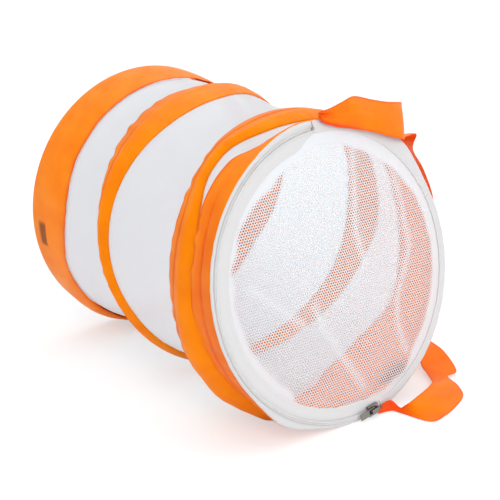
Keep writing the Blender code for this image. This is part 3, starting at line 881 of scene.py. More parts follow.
def matt_paper(name, colour):
    """Studio background paper: matt and plain, with a faint fibre, and white to the camera."""
    made, tree = new_tree(name)
    place = add_node(tree, "ShaderNodeTexCoord").outputs["Object"]
    fibre = add_node(tree, "ShaderNodeTexNoise", inputs={"Vector": place, "Scale": 1 / 0.002, "Detail": 2.0})
    rough = add_node(
        tree, "ShaderNodeMapRange", inputs={"Value": fibre.outputs["Fac"], "To Min": 0.85, "To Max": 0.95}
    )
    paper = add_node(
        tree,
        "ShaderNodeBsdfPrincipled",
        inputs={"Base Color": rgba(colour), "Roughness": rough.outputs["Result"], "Specular IOR Level": 0.0},
    )
    white = add_node(tree, "ShaderNodeEmission", inputs={"Color": rgba(colour), "Strength": 1.0})
    path = add_node(tree, "ShaderNodeLightPath")
    seen = add_node(
        tree,
        "ShaderNodeMath",
        {"operation": "MULTIPLY", "use_clamp": True},
        {0: path.outputs["Is Camera Ray"], 1: 0.52},
    )
    both = add_node(
        tree,
        "ShaderNodeMixShader",
        inputs={0: seen.outputs[0], 1: paper.outputs["BSDF"], 2: white.outputs["Emission"]},
    )
    add_node(tree, "ShaderNodeOutputMaterial", inputs={"Surface": both.outputs["Shader"]})
    return made


def stage(context):
    """The paper floor, four soft lamps, the surrounding light and the camera."""
    colours = context.scene.insect_cage_colours
    scene = context.scene
    scene.view_settings.view_transform = "Standard"
    mesh = bpy.data.meshes.new("paper_floor")
    corners = ((-1, -1), (1, -1), (1, 1), (-1, 1))
    places = [(floor_half * x, floor_half * y, floor_height) for x, y in corners]
    mesh.from_pydata(places, [], [(0, 1, 2, 3)])
    floor = bpy.data.objects.new("paper_floor", mesh)
    scene.collection.objects.link(floor)
    mesh.materials.append(matt_paper("studio_paper", colours.floor))

    lamps = (
        ("key_softbox", (-3.0, -4.5, 5.0), 4.0, 185.0),
        ("fill_softbox", (4.5, -3.0, 3.5), 4.0, 92.0),
        ("front_softbox", (2.2, -5.2, 1.2), 4.0, 60.0),
        ("top_softbox", (0.0, 1.0, 6.0), 5.0, 154.0),
    )
    for name, place, size, power in lamps:
        light = bpy.data.lights.new(name, "AREA")
        light.size = size
        light.energy = power
        lamp = bpy.data.objects.new(name, light)
        lamp.location = place
        aim = np.array((0.0, 0.0, 0.1)) - np.array(place)
        flat = math.hypot(aim[0], aim[1])
        lamp.rotation_euler = (math.atan2(flat, -aim[2]), 0.0, math.atan2(-aim[0], aim[1]))
        scene.collection.objects.link(lamp)

    world = bpy.data.worlds.new("studio")
    world.use_nodes = True
    tree = world.node_tree
    tree.nodes.clear()
    path = add_node(tree, "ShaderNodeLightPath")
    seen = add_node(
        tree,
        "ShaderNodeMath",
        {"operation": "ADD"},
        {0: path.outputs["Is Camera Ray"], 1: path.outputs["Is Glossy Ray"]},
    )
    seen = add_node(
        tree,
        "ShaderNodeMath",
        {"operation": "ADD", "use_clamp": True},
        {0: seen.outputs[0], 1: path.outputs["Is Transmission Ray"]},
    )
    room = add_node(tree, "ShaderNodeBackground", inputs={"Color": (0.96, 0.98, 1.0, 1.0), "Strength": 0.60})
    white = add_node(tree, "ShaderNodeBackground", inputs={"Color": (1.0, 1.0, 1.0, 1.0), "Strength": 1.0})
    both = add_node(
        tree,
        "ShaderNodeMixShader",
        inputs={0: seen.outputs[0], 1: room.outputs["Background"], 2: white.outputs["Background"]},
    )
    add_node(tree, "ShaderNodeOutputWorld", inputs={"Surface": both.outputs["Shader"]})
    scene.world = world

    view = bpy.data.cameras.new("camera")
    view.sensor_width = 36.0
    view.lens = camera_lens
    camera = bpy.data.objects.new("camera", view)
    camera.location = axis + hoop_radius * np.array(camera_place)
    camera.rotation_euler = (math.radians(90 - camera_down), 0.0, math.radians(camera_round))
    scene.collection.objects.link(camera)
    scene.camera = camera


def spiral_y(degrees):
    """How far along the axis the spiral wire is at a turn, in degrees."""
    length = back_edge - front_centre
    back = back_edge - spiral_back_inset
    rows = [(spiral_start, back), (spiral_leaves_back, back)]
    rows += [(turn, front_centre + length * share) for turn, share in spiral_path_shares]
    for turn in range(spiral_meets_front, spiral_end + 1, 4):
        rows.append((turn, front_y(math.radians(turn)) + spiral_front_inset))
    return eased(rows, degrees)


def casing_edges(degrees):
    """The casing's back and front edges along the axis."""
    back = eased([(turn, share) for turn, share, _ in casing_edge_shares], degrees)
    front = eased([(turn, share) for turn, _, share in casing_edge_shares], degrees)
    return hoop_radius * back, hoop_radius * front


def supports(angle):
    """The stretches along the axis where cloth or wire holds the net at one angle, in degrees."""
    found = [(hoop_radius * float(eased(back_band_shares, angle % 360)), back_edge)]
    for turn in (angle - 360, angle, angle + 360):
        if casing_edge_shares[0][0] <= turn <= casing_edge_shares[-1][0]:
            back, front = casing_edges(turn)
            found.append((float(front), float(back)))
    skirt_edge = hoop_radius * float(eased(front_band_shares, angle % 360))
    found.append((-1.0, skirt_edge))
    return sorted(found)


def net_sag(angle, y, depth):
    """How far the net pulls in at one angle, for places along the axis."""
    sag = np.zeros_like(y)
    held = supports(angle)
    for (_, low), (high, _) in zip(held, held[1:]):
        if high - low > 0.001:
            t = np.clip((y - low) / (high - low), 0.0, 1.0)
            sag = np.maximum(sag, depth * (high - low) * np.sin(math.pi * t) ** 0.9)
    return sag


def covered(angle, y):
    """How far inside the bands and the casing each place along the axis lies, at one angle.

    On the near side the net reaches further under them, so that no gap shows at their edges.
    """
    inside = [np.minimum(y - low, high - y) for low, high in supports(angle)]
    further = 0.004 * smooth_step(5, 20, angle) * (1 - smooth_step(185, 195, angle))
    return np.clip(np.max(inside, axis=0) - further, -0.006, 0.006)


def net_walls(context):
    """The net tube, in a rear part that collapses and a front part that tilts."""
    sizes = context.scene.insect_cage_sizes
    colours = context.scene.insect_cage_colours
    around = 288
    angles = math.tau * np.arange(around) / around
    rear = np.linspace(back_edge - 0.0012, collapse_seam, 86)
    ends = front_y(angles, net_radius) + 0.0026
    front_rows = 34
    shares = np.linspace(0.0, 1.0, front_rows + 1)[1:]
    y = np.concatenate(
        (
            np.broadcast_to(rear, (around, len(rear))),
            collapse_seam + (ends[:, None] - collapse_seam) * shares[None],
        ),
        axis=1,
    )
    sag = np.stack([net_sag(math.degrees(a), row, sizes.net_sag) for a, row in zip(angles, y)])
    cover = np.stack([covered(math.degrees(a), row) for a, row in zip(angles, y)])
    loose = np.clip(sag / 0.0012, 0.0, 1.0)
    turned = angles[:, None]
    waves = 0.6 * uneven_wave(turned + 6.0 * y, 15, 11) + 0.4 * uneven_wave(turned - 9.0 * y, 24, 12)
    radius = net_radius - sag + 0.0004 * waves * loose
    points = rested(wall_points(angles[:, None], radius, y))
    flat = np.stack(
        np.broadcast_arrays(
            net_radius * np.append(angles, math.tau)[:, None],
            -np.append(y, y[:1], axis=0),
        ),
        axis=-1,
    )
    # Against the bright far side the holes of the wall hardly show, so they are drawn part closed
    material = knitted_net(
        "polyester_tulle_wall", colours.net, sizes.net_pitch, hole=0.38, soft=0.24, clear=0.12, through=0.57
    )
    cut = len(rear)
    marks = {"cover": cover[:, :cut]}
    back = grid_object("net_wall_rear", points[:, :cut], flat[:, :cut], closed=True, marks=marks)
    marks = {"cover": cover[:, cut - 1 :]}
    front = grid_object("net_wall_front", points[:, cut - 1 :], flat[:, cut - 1 :], closed=True, marks=marks)
    for made, first, last in ((back, 0, cut - 1), (front, cut - 1, -1)):
        finish_piece(made, material, "pale_net", "net_tube")
    collapse_with_cage(back)
    tilt_with_front(front)


def back_panel(context):
    """The net disc that closes the back end."""
    sizes = context.scene.insect_cage_sizes
    colours = context.scene.insect_cage_colours
    around = 144
    rings = 24
    angles = math.tau * np.arange(around) / around
    radii = np.linspace(net_radius, 0.0, rings)
    x = -radii[None] * np.sin(angles)[:, None]
    z = radii[None] * np.cos(angles)[:, None]
    inside = 1 - (radii[None] / net_radius) ** 2
    dent = 0.0022 * inside + 0.0005 * inside * soft_wrinkles(x, z, 0.045, 0.8, 21)
    points = np.stack((x, back_edge - 0.0004 - dent, z), axis=-1)
    flat = np.stack((x, z), axis=-1)
    flat = np.concatenate((flat, flat[:1]), axis=0)
    made = grid_object("back_net", points, flat, closed=True)
    join_middle(made)
    material = knitted_net(
        "polyester_tulle_back", colours.net, sizes.net_pitch, hole=0.38, soft=0.16, clear=0.30, through=0.57
    )
    finish_piece(made, material, "pale_net", "back_net_panel")
    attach(made, "cage_base")


def path_distance(x, z, path):
    """The distance of each place on the face from a line of points."""
    best = np.full(np.shape(x), np.inf)
    for (x0, z0), (x1, z1) in zip(path, path[1:]):
        dx, dz = x1 - x0, z1 - z0
        t = np.clip(((x - x0) * dx + (z - z0) * dz) / (dx * dx + dz * dz), 0.0, 1.0)
        best = np.minimum(best, np.hypot(x - x0 - t * dx, z - z0 - t * dz))
    return best


def eased_path(path, steps=8):
    """A smooth line through a few points."""
    path = np.array(path)
    rows = np.arange(len(path))
    at = np.linspace(0, len(path) - 1, (len(path) - 1) * steps + 1)
    return np.stack([eased(np.stack((rows, values), axis=1), at) for values in path.T], axis=1)


def zipped_share(angles):
    """Where the zipper runs along the lid, fading out where its tape narrows towards each end."""
    degrees = np.degrees(angles) % 360
    return smooth_step(1, 14, degrees) * (1 - smooth_step(183, 196, degrees))


def lid_edge(angles):
    """How far out the lid's net reaches, under the zipper's inner tape or the hinge strip."""
    return net_at_hinge + (net_at_zip - net_at_hinge) * zipped_share(angles)


def lid_net_sheet(context):
    """The lid's net: one soft disc, zipped on the left and sewn to the hinge strip on the right."""
    sizes = context.scene.insect_cage_sizes
    colours = context.scene.insect_cage_colours
    around = 216
    rings = 52
    angles = math.tau * np.arange(around) / around
    edge = lid_edge(angles)[:, None]
    radii = edge * (1 - np.linspace(0.0, 1.0, rings) ** 1.05)[None]
    x = -radii * np.sin(angles)[:, None]
    up = radii * np.cos(angles)[:, None]
    inside = np.clip(1 - (radii / edge) ** 2, 0.0, 1.0)
    free = smooth_step(0.0, 0.25, inside)
    ahead = sizes.lid_bulge * inside
    ahead = ahead + 0.0009 * free * soft_wrinkles(x, up, 0.060, 0.9, 31)
    ahead = ahead + 0.0004 * free * soft_wrinkles(up, x, 0.028, 0.9, 32)
    gather = np.zeros_like(ahead)
    for path in lid_crease_shares:
        line = eased_path([(hoop_radius * a, hoop_radius * b) for a, b in path])
        near = path_distance(x, up, line)
        ahead = ahead + 0.0008 * free * np.exp(-((near / 0.0035) ** 2))
        ahead = ahead - 0.0005 * free * np.exp(-(((near - 0.0070) / 0.0040) ** 2))
        gather = np.maximum(gather, 0.30 * np.exp(-((near / 0.0030) ** 2)))
    hem_start = hoop_radius * eased(lid_hem_shares, np.degrees(angles))[:, None]
    hem_start = hem_start + 0.0007 * uneven_wave(angles, 22, 33)[:, None]
    gather = np.maximum(gather, smooth_step(0.0, 0.0045, radii - hem_start))
    turned = np.broadcast_to(angles[:, None], x.shape)
    points = front_points(turned, radii, 0.0001 + ahead)
    flat = np.stack((x, up), axis=-1)
    flat = np.concatenate((flat, flat[:1]), axis=0)
    made = grid_object("lid_net_sheet", points, flat, closed=True, marks={"gather": gather})
    join_middle(made)
    # Its holes are 1.5 mm apart, and are drawn at 1.9 mm so that they show
    pitch = 1.28 * sizes.net_pitch
    material = knitted_net("polyester_tulle_lid", colours.net, pitch, sizes.net_hole, soft=0.04, clear=1.0)
    finish_piece(made, material, "pale_net", "lid_net", "lid_fixed_net")
    centre = front_points(0.0, 0.0, coil_top) + axis
    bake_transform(made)


def loose_rim(angles):
    """How far the loose cloth stands out past the front hoop, at each angle."""
    total = 0.0
    for middle, size, width in rim_slack:
        off = (np.degrees(angles) - middle + 180) % 360 - 180
        total = total + size * np.exp(-((off / width) ** 2))
    return total


def edge_marks(points):
    """How far each place is from the nearer long edge of the cloth, in metres."""
    across = places_across(points)
    return np.minimum(across, across[:, -1:] - across)


def back_band(context):
    """The wide satin band round the back hoop, with its hem turned in over the wire."""
    sizes = context.scene.insect_cage_sizes
    colours = context.scene.insect_cage_colours
    around = 360
    angles = math.tau * np.arange(around) / around
    waves = hoop_radius * math.tau / sizes.pucker_length
    gathers = 0.4 * bunched(angles, waves, 41)
    front = hoop_radius * eased(back_band_shares, np.degrees(angles))
    front = front + 0.0004 * uneven_wave(angles, waves / 3, 42)
    half = sizes.satin / 2
    crown = hoop_radius - half - 0.0001
    sewn = 0.0962
    hanging = 0.0030 * np.exp(-(((np.degrees(angles) - 142) / 16) ** 2))
    columns = []
    hoop_start = back_edge - 0.0022
    for t in np.linspace(0.0, 1.0, 22):
        y = front + (hoop_start - front) * t
        radius = sewn + (crown - sewn) * (1 - (1 - t) ** 1.8)
        fade = (1 - t) ** 2.2
        radius = radius + sizes.pucker * gathers * fade
        radius = radius + 0.0003 * uneven_wave(angles, 14, 43) * (1 - t) * min(1.0, 4 * t)
        radius = radius + hanging * math.sin(math.pi * t**0.7)
        columns.append((radius, y))
    turn_in = (
        (crown + 0.00002, 0.0015), (crown - 0.0002, 0.0008), (crown - 0.0007, 0.0004),
        (crown - 0.0016, 0.00028), (0.0975, 0.00025), (0.0962, 0.0003), (0.0957, 0.0009),
        (0.0956, 0.0030), (0.0956, 0.0066),
        (0.0956, 0.0115), (0.0956, 0.0160),
    )
    for radius, inset in turn_in:
        columns.append((np.full(around, radius), np.full(around, back_edge - inset)))
    radius = np.stack([r for r, _ in columns], axis=1)
    y = np.stack([v for _, v in columns], axis=1)
    points = rested(wall_points(angles[:, None], radius, y))
    turned = np.degrees(angles)[:, None]
    # Painted shade: where the dark clip lies under the satin, its darkness and shadow are painted as a brown
    # patch
    clip = smooth_step(90.6, 91.4, turned) * (1 - smooth_step(100.8, 101.6, turned))
    along = smooth_step(0.0925, 0.0932, y) * (1 - smooth_step(0.0990, 0.1020, y))
    clip = clip * along * (radius > 0.0965)
    # Painted shade: deeper orange along the gathered front edge, most in the gathers' hollows
    fold_shade = 0.5 * np.exp(-(((y - front[:, None]) / 0.0030) ** 2)) * (0.5 - 0.5 * gathers[:, None])
    marks = {"seam": edge_marks(points), "clip": clip, "fold_shade": fold_shade}
    made = thick_cloth("back_band_satin", points, sizes.satin, closed=True, marks=marks)
    material = polyester_satin("polyester_satin_back", colours.satin, colours.satin_tone_and_shade)
    finish_piece(made, material, "orange_satin", "back_band")
    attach(made, "cage_base")


def front_band(context):
    """The satin skirt round the front hoop, narrow at the top, wide at the bottom and creased on the left."""
    sizes = context.scene.insect_cage_sizes
    colours = context.scene.insect_cage_colours
    around = 360
    angles = math.tau * np.arange(around) / around
    degrees = np.degrees(angles)
    waves = hoop_radius * math.tau / sizes.pucker_length
    gathers = 0.7 * bunched(angles, waves, 51)
    back = hoop_radius * eased(front_band_shares, degrees) + 0.0006 * uneven_wave(angles, waves / 2, 52)
    rim = front_y(angles)
    half = sizes.satin / 2
    crown = hoop_radius - half - 0.0001
    # On the far side the band's back edge lies on the net that it is sewn to
    on_right = smooth_step(188, 200, degrees) * (1 - smooth_step(340, 356, degrees))
    sewn = 0.0984 - 0.0026 * on_right
    on_left = smooth_step(35, 70, degrees) * (1 - smooth_step(150, 185, degrees))
    columns = []
    outer_rows = 24
    for t in np.linspace(0.0, 1.0, outer_rows):
        y = back + (rim + 0.0016 - back) * t
        radius = sewn + (crown - sewn) * (1 - (1 - t) ** 1.6)
        radius = radius + sizes.pucker * gathers * (1 - t) ** 2.2
        radius = radius - 0.0006 * on_left * np.exp(-(((t - 0.55) / 0.10) ** 2))
        columns.append((radius, y, t))
    turn_in = (
        (crown, 0.0010), (crown - 0.0003, 0.0004), (crown - 0.0009, 0.00022), (0.0976, 0.0002),
        (0.0962, 0.00022), (0.0957, 0.0008), (0.0956, 0.0030), (0.0956, 0.0066), (0.0956, 0.0112),
    )
    for radius, inset in turn_in:
        columns.append((np.full(around, radius), rim + inset, 1.0))
    radius = np.stack([r for r, _, _ in columns], axis=1)
    y = np.stack([v for _, v, _ in columns], axis=1)
    t = np.array([share for _, _, share in columns])[None]
    at_rim = smooth_step(0.0975, 0.0990, radius) * smooth_step(0.5, 1.0, t)
    radius = radius + loose_rim(angles)[:, None] * at_rim
    # The turned-in part keeps its distance behind the plane at its own radius
    y[:, outer_rows:] += front_y(angles[:, None], radius[:, outer_rows:]) - rim[:, None]
    points = rested(wall_points(angles[:, None], radius, y))
    # Painted shade: deeper orange along the crease on the left, over the left side's outer part towards the
    # rim, and in the gathers' hollows at the back edge
    fold_shade = 0.5 * on_left[:, None] * np.exp(-(((t - 0.55) / 0.07) ** 2))
    fold_shade = fold_shade + 0.35 * on_left[:, None] * smooth_step(0.1, 0.3, t)
    fold_shade = fold_shade + 0.6 * np.exp(-((t / 0.10) ** 2)) * (0.6 - 0.4 * gathers[:, None])
    turned = degrees[:, None]
    # Painted shade: the dark clip under the satin and its shadow, spread well past the clip, painted as a
    # brown patch
    clip = smooth_step(202, 206, turned) * (1 - smooth_step(212, 220, turned))
    behind_rim = y - rim[:, None]
    clip = clip * smooth_step(0.0006, 0.0030, behind_rim) * (1 - smooth_step(0.0130, 0.0280, behind_rim))
    marks = {"seam": edge_marks(points), "fold_shade": np.clip(fold_shade, 0.0, 1.0), "clip": clip}
    made = thick_cloth("front_band_satin", points, sizes.satin, closed=True, marks=marks)
    material = polyester_satin("polyester_satin_front", colours.satin, colours.satin_tone_and_shade)
    finish_piece(made, material, "orange_satin", "front_band")
    tilt_with_front(made)
    around = math.tau * hoop_radius


def spiral_casing(context):
    """The satin tape sewn over the spiral wire, gathered along its back edge."""
    sizes = context.scene.insect_cage_sizes
    colours = context.scene.insect_cage_colours
    first, last = casing_edge_shares[0][0], casing_edge_shares[-1][0]
    degrees = np.linspace(first, last, int((last - first) / 0.9) + 1)
    angles = np.radians(degrees)
    back, front = casing_edges(degrees)
    wire = np.clip((spiral_y(degrees) - front) / (back - front), 0.25, 0.75)
    waves = hoop_radius * math.tau / sizes.pucker_length
    bunches = 0.35 + 0.65 * smooth_step(-60, -20, degrees) * (1 - smooth_step(85, 120, degrees))
    bunches = bunches - 0.25 * smooth_step(330, 345, degrees) * (1 - smooth_step(385, 410, degrees))
    bunches = bunches + 0.55 * smooth_step(385, 415, degrees) * (1 - smooth_step(440, 490, degrees))
    gathers = bunches * bunched(angles, waves, 61)
    small = 0.5 * uneven_wave(angles, waves * 1.3, 62)
    height = eased(casing_height_shares, degrees)
    slack = np.maximum(eased(casing_slack, np.clip(degrees, casing_slack[0][0], casing_slack[-1][0])), 0.0)
    edge_radius = 0.0961
    lining_radius = 0.0955
    columns = []
    fold_shade = []
    for t in np.linspace(0.0, 1.0, 25):
        spread = np.where(t < 1 - wire, t / (1 - wire), (1 - t) / wire)
        spread = np.clip(spread, 0.0, 1.0)
        radius = edge_radius + (0.0028 * height + slack) * (1 - (1 - spread) ** 2)
        ridge = np.exp(-(((t - (1 - wire)) * (back - front) / 0.0016) ** 2))
        radius = radius + 0.0005 * height * ridge
        radius = radius + sizes.pucker * gathers * (1 - t) ** 2 * height * min(1.0, 0.3 + 4 * t)
        radius = radius + 0.5 * sizes.pucker * small * t**3 * height * min(1.0, 0.3 + 4 * (1 - t))
        # The crease dents the casing and is also painted as shade, a deeper orange
        crease = np.exp(-(((t - 0.36) / 0.05) ** 2)) * smooth_step(20, 60, degrees)
        radius = radius - 0.0005 * crease * height
        y = back + (front - back) * t + 0.0014 * gathers * (1 - t) ** 3 - 0.0003 * small * t**3
        columns.append((radius, y))
        # Painted shade: deeper orange along the gathered back edge, most in the gathers' hollows
        pulled_shade = 0.45 * np.exp(-((t / 0.12) ** 2)) * (0.5 - 0.5 * gathers)
        fold_shade.append(np.clip(0.8 * crease + pulled_shade, 0.0, 1.0))
    # The tape is folded round the wire, so that a second layer lies inside
    for t in np.linspace(1.0, 0.0, 7):
        radius = np.full_like(degrees, lining_radius)
        columns.append((radius, back + (front - back) * t + 0.0014 * gathers * (1 - t) ** 3))
        fold_shade.append(np.zeros_like(degrees))
    radius = np.stack([r for r, _ in columns], axis=1)
    y = np.stack([v for _, v in columns], axis=1)
    points = rested(wall_points(angles[:, None], radius, y))
    marks = {"seam": edge_marks(points), "fold_shade": np.stack(fold_shade, axis=1), "clip": np.zeros_like(radius)}
    whole = thick_cloth("casing", points, sizes.satin, closed=False, marks=marks)
    rear, front_half = cut_at_seam(whole, "casing_rear", "casing_front")
    material = polyester_satin("polyester_satin_casing", colours.satin, colours.satin_tone_and_shade)
    parts = ((rear, first, casing_cut), (front_half, casing_cut, last))
    for made, start, end in parts:
        finish_piece(made, material, "orange_satin", "spiral_casing")
    collapse_with_cage(rear)
    tilt_with_front(front_half)


def wire_y(degrees):
    """Where the wire runs along the axis: near the front it keeps to the middle half of its casing."""
    y = spiral_y(degrees)
    back, front = casing_edges(np.clip(degrees, casing_edge_shares[0][0], casing_edge_shares[-1][0]))
    quarter = (back - front) / 4
    kept = np.clip(y, front + quarter, back - quarter)
    held = smooth_step(330, 350, degrees) * (1 - smooth_step(450, 480, degrees))
    return y + held * (kept - y)


def spiral_wire(context):
    """The spring wire inside the casing."""
    degrees = np.arange(spiral_start, spiral_end + 1, 3.0)
    angles = np.radians(degrees)
    centres = wall_points(angles, spiral_wire_ring, wire_y(degrees))
    out = np.stack((-np.sin(angles), np.zeros_like(angles), np.cos(angles)), axis=-1)
    up = np.broadcast_to((0.0, 1.0, 0.0), out.shape)
    whole = thread_object("wire", centres, out, up, wire_radius, 10)
    rear, front = cut_at_seam(whole, "spiral_wire_rear", "spiral_wire_front")
    material = spring_steel("drawn_spring_steel_spiral")
    for made in (rear, front):
        finish_piece(made, material, "spring_steel", "spiral_wire")
    collapse_with_cage(rear)
    tilt_with_front(front)


def spring_steel(name):
    # Drawn spring steel: grey and fairly bright, with fine drawing marks
    return worn_metal(name, linear_colour("#A9A9AB"), 0.34, 0.0004)


def bright_nickel(name):
    # Bright nickel plate: warm silver with a sharp shine and faint handling marks
    return worn_metal(name, linear_colour("#85817C"), 0.22, 0.0005)


def lacquered_clip(name, colour):
    # Folded steel strip under dark lacquer: brown-black and half glossy
    return worn_metal(name, colour, 0.45, 0.0006, metallic=0.0)


def tape_strip(name, first, last, profile, thickness, seed, narrows=False):
    """A woven strip on the front plane, from its outer edge inwards, with slight uneven waves.

    One that narrows is cut away towards its ends.
    """
    count = int((last - first) * hoop_radius / 0.0020)
    angles = np.linspace(first, last, count)
    radius = np.array([r for r, _ in profile])[None]
    ahead = np.array([h for _, h in profile])[None]
    wobble = 0.00012 * uneven_wave(angles, 60, seed)[:, None]
    if narrows:
        kept = 0.17 + 0.83 * zipped_share(angles)[:, None]
        radius = radius[:, :1] + (radius - radius[:, :1]) * kept
    radius = radius + loose_rim(angles)[:, None] * smooth_step(0.0970, 0.0990, radius)
    points = front_points(angles[:, None], radius + wobble, ahead)
    marks = {"seam": edge_marks(points)}
    return thick_cloth(name, points, thickness, closed=False, marks=marks)


def coil_row(name, ring, first, last, pitch, thread, turned):
    """One row of the zipper: a nylon thread wound in a flattened coil."""
    length = ring * (last - first)
    turns = int(length / pitch)
    count = turns * 8 + 1
    share = np.linspace(0.0, 1.0, count)
    angles = first + (last - first) * share
    phase = math.tau * turns * share * (1 if turned else -1)
    half_height = (coil_top - coil_base) / 2 - thread
    half_width = 0.00068 - thread
    radius = ring + half_width * np.cos(phase)
    ahead = (coil_top + coil_base) / 2 + half_height * np.sin(phase)
    centres = front_points(angles, radius, ahead)
    along = np.gradient(centres, axis=0)
    along /= np.linalg.norm(along, axis=1, keepdims=True)
    off = np.broadcast_to((0.0, -math.cos(front_lean), math.sin(front_lean)), along.shape)
    out = np.cross(along, off)
    out /= np.maximum(np.linalg.norm(out, axis=1, keepdims=True), 1e-9)
    up = np.cross(out, along)
    return thread_object(name, centres, out, up, thread, 5)


def zipper(context):
    """Both tapes and both coils of the zipper, and the strip that the lid hangs on."""
    sizes = context.scene.insect_cage_sizes
    colours = context.scene.insect_cage_colours
    last = zip_end - math.radians(0.4)
    outer = (
        (0.0995, -0.00010), (0.0993, 0.00040), (0.0989, 0.00068), (0.0984, 0.00072), (0.0978, 0.00062),
        (0.0974, 0.00036), (0.0962, 0.00030),
    )
    inner = (
        (0.0959, 0.00030), (0.0947, 0.00036), (0.0943, 0.00060), (0.0925, 0.00064), (0.0905, 0.00064),
        (0.0885, 0.00064), (0.0874, 0.00064), (0.0868, 0.00062), (0.0863, 0.00052),
    )
    hinge = (
        (0.0995, -0.00010), (0.0993, 0.00040), (0.0988, 0.00070), (0.0978, 0.00085), (0.0968, 0.00080),
        (0.0958, 0.00072), (0.0949, 0.00070), (0.0943, 0.00066), (0.0939, 0.00052),
    )
    tape = woven_tape("woven_polyester_tape", colours.tape)
    made = tape_strip("outer_zip_tape", zip_start, last, outer, 0.0004, 71)
    finish_piece(made, tape, "white_tape", "zipper_outer_tape")
    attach(made, "front_hoop")
    made = tape_strip("inner_zip_tape", zip_start, last, inner, sizes.tape, 72, narrows=True)
    finish_piece(made, tape, "white_tape", "zipper_inner_tape")
    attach(made, "lid")
    made = tape_strip("hinge_strip_tape", zip_end, strip_end - math.radians(0.4), hinge, sizes.tape, 73)
    finish_piece(made, tape, "white_tape", "lid_hinge_strip")
    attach(made, "front_hoop")
    nylon = nylon_coil("nylon_coil_thread", colours.coil)
    rows = (
        ("outer_zip_coil", 0.09675, "zipper_outer_coil", "front_hoop", False),
        ("inner_zip_coil", 0.09535, "zipper_inner_coil", "lid", True),
    )
    for name, ring, node, body, turned in rows:
        made = coil_row(name, ring, zip_start, last, sizes.coil_pitch, sizes.coil_thread, turned)
        finish_piece(made, nylon, "zipper_coil", node)
        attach(made, body)


def metal_parts(context):
    """Finishes the hoop wires, clips, stops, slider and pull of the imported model."""
    colours = context.scene.insect_cage_colours
    steel = spring_steel("drawn_spring_steel")
    nickel = bright_nickel("bright_nickel_plate")
    clip = lacquered_clip("dark_lacquered_steel", colours.clip)
    finishes = {
        "back_hoop_wire": steel,
        "front_hoop_wire": steel,
        "back_crimp_ferrule": clip,
        "front_crimp_ferrule": clip,
        "zipper_top_stop": nickel,
        "zipper_bottom_stop": nickel,
        "zipper_slider": nickel,
        "zipper_pull": nickel,
    }
    for name, material in finishes.items():
        part = bpy.data.objects[name]
        part.data.materials.clear()
        part.data.materials.append(material)
        if name.startswith("zipper"):
            soft = part.modifiers.new("worn edges", "BEVEL")
            soft.width = 0.00012
            soft.segments = 2
            soft.limit_method = "ANGLE"


def carry_strap(context):
    """The ribbon strap: pinched where it is sewn on, cupped along its run, and turned over at the corner."""
    sizes = context.scene.insect_cage_sizes
    colours = context.scene.insect_cage_colours
    front = np.array((0.0, front_centre, 0.0))
    near = eased_path(front + hoop_radius * np.array(strap_near_shares))
    far = eased_path(front + hoop_radius * np.array(strap_far_shares))
    at = np.linspace(0, len(strap_near_shares) - 1, len(near))
    across = np.linspace(0.0, 1.0, 15)
    points = near[:, None] * (1 - across)[None, :, None] + far[:, None] * across[None, :, None]
    normals = grid_normals(points, closed=False)
    middle = 4 * across * (1 - across)
    cup_rows = (
        (0, 0.0004), (3, 0.0026), (6, 0.0005), (11, 0.0012),
        (15, -0.0012), (18, 0.0), (21, -0.0012), (26, 0.0),
    )
    cup = eased(cup_rows, at)
    pinch = 0.0010 * np.exp(-((at / 2.6) ** 2))
    ripple = pinch[:, None] * np.sin(3.0 * math.tau * across)[None]
    ripple = ripple + 0.0004 * soft_wrinkles(at[:, None] * 0.0135, across[None] * 0.024, 0.030, 0.7, 81)
    points = points + normals * (cup[:, None] * middle[None] + ripple * np.sqrt(middle)[None])[..., None]
    points[..., 2] = np.maximum(points[..., 2], -flat_height + sizes.satin)
    # Painted shade: deeper orange in stripes across the gathers at the sewn-on pinch, along the near edge
    # below it, and over the strap's end from row 24 on
    fold_shade = 0.7 * np.exp(-((at / 1.5) ** 2))[:, None] * (0.5 + 0.5 * np.sin(3.0 * math.tau * across))[None]
    fold_shade = fold_shade + np.exp(-(((at - 1.6) / 1.3) ** 2))[:, None] * np.exp(-((across / 0.13) ** 2))[None]
    fold_shade = fold_shade + smooth_step(23.4, 24.2, at)[:, None] * np.ones_like(across)[None]
    marks = {"seam": edge_marks(points), "fold_shade": np.clip(fold_shade, 0.0, 1.0), "clip": np.zeros_like(fold_shade)}
    made = thick_cloth("strap_ribbon", points, sizes.satin, closed=False, marks=marks)
    # The second colour is the deeper orange of the strap's painted shade in its creases
    material = polyester_satin("polyester_satin_ribbon", colours.strap, linear_colour("#F2501E"))
    finish_piece(made, material, "orange_satin", "carry_strap")
    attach(made, "strap")


class OBJECT_OT_cage_stage(bpy.types.Operator):
    """Sets up the paper floor, the soft lamps and the camera"""

    bl_idname = "insect_cage.stage"
    bl_label = "Stage"

    def execute(self, context):
        stage(context)
        return {"FINISHED"}


class OBJECT_OT_cage_net_walls(bpy.types.Operator):
    """Builds the net tube"""

    bl_idname = "insect_cage.net_walls"
    bl_label = "Net Walls"

    def execute(self, context):
        net_walls(context)
        return {"FINISHED"}


class OBJECT_OT_cage_back_panel(bpy.types.Operator):
    """Builds the net disc of the back end"""

    bl_idname = "insect_cage.back_panel"
    bl_label = "Back Panel"

    def execute(self, context):
        back_panel(context)
        return {"FINISHED"}


class OBJECT_OT_cage_lid_net(bpy.types.Operator):
    """Builds the lid's net"""

    bl_idname = "insect_cage.lid_net"
    bl_label = "Lid Net"

    def execute(self, context):
        lid_net_sheet(context)
        return {"FINISHED"}


class OBJECT_OT_cage_back_band(bpy.types.Operator):
    """Builds the satin band of the back hoop"""

    bl_idname = "insect_cage.back_band"
    bl_label = "Back Band"

    def execute(self, context):
        back_band(context)
        return {"FINISHED"}


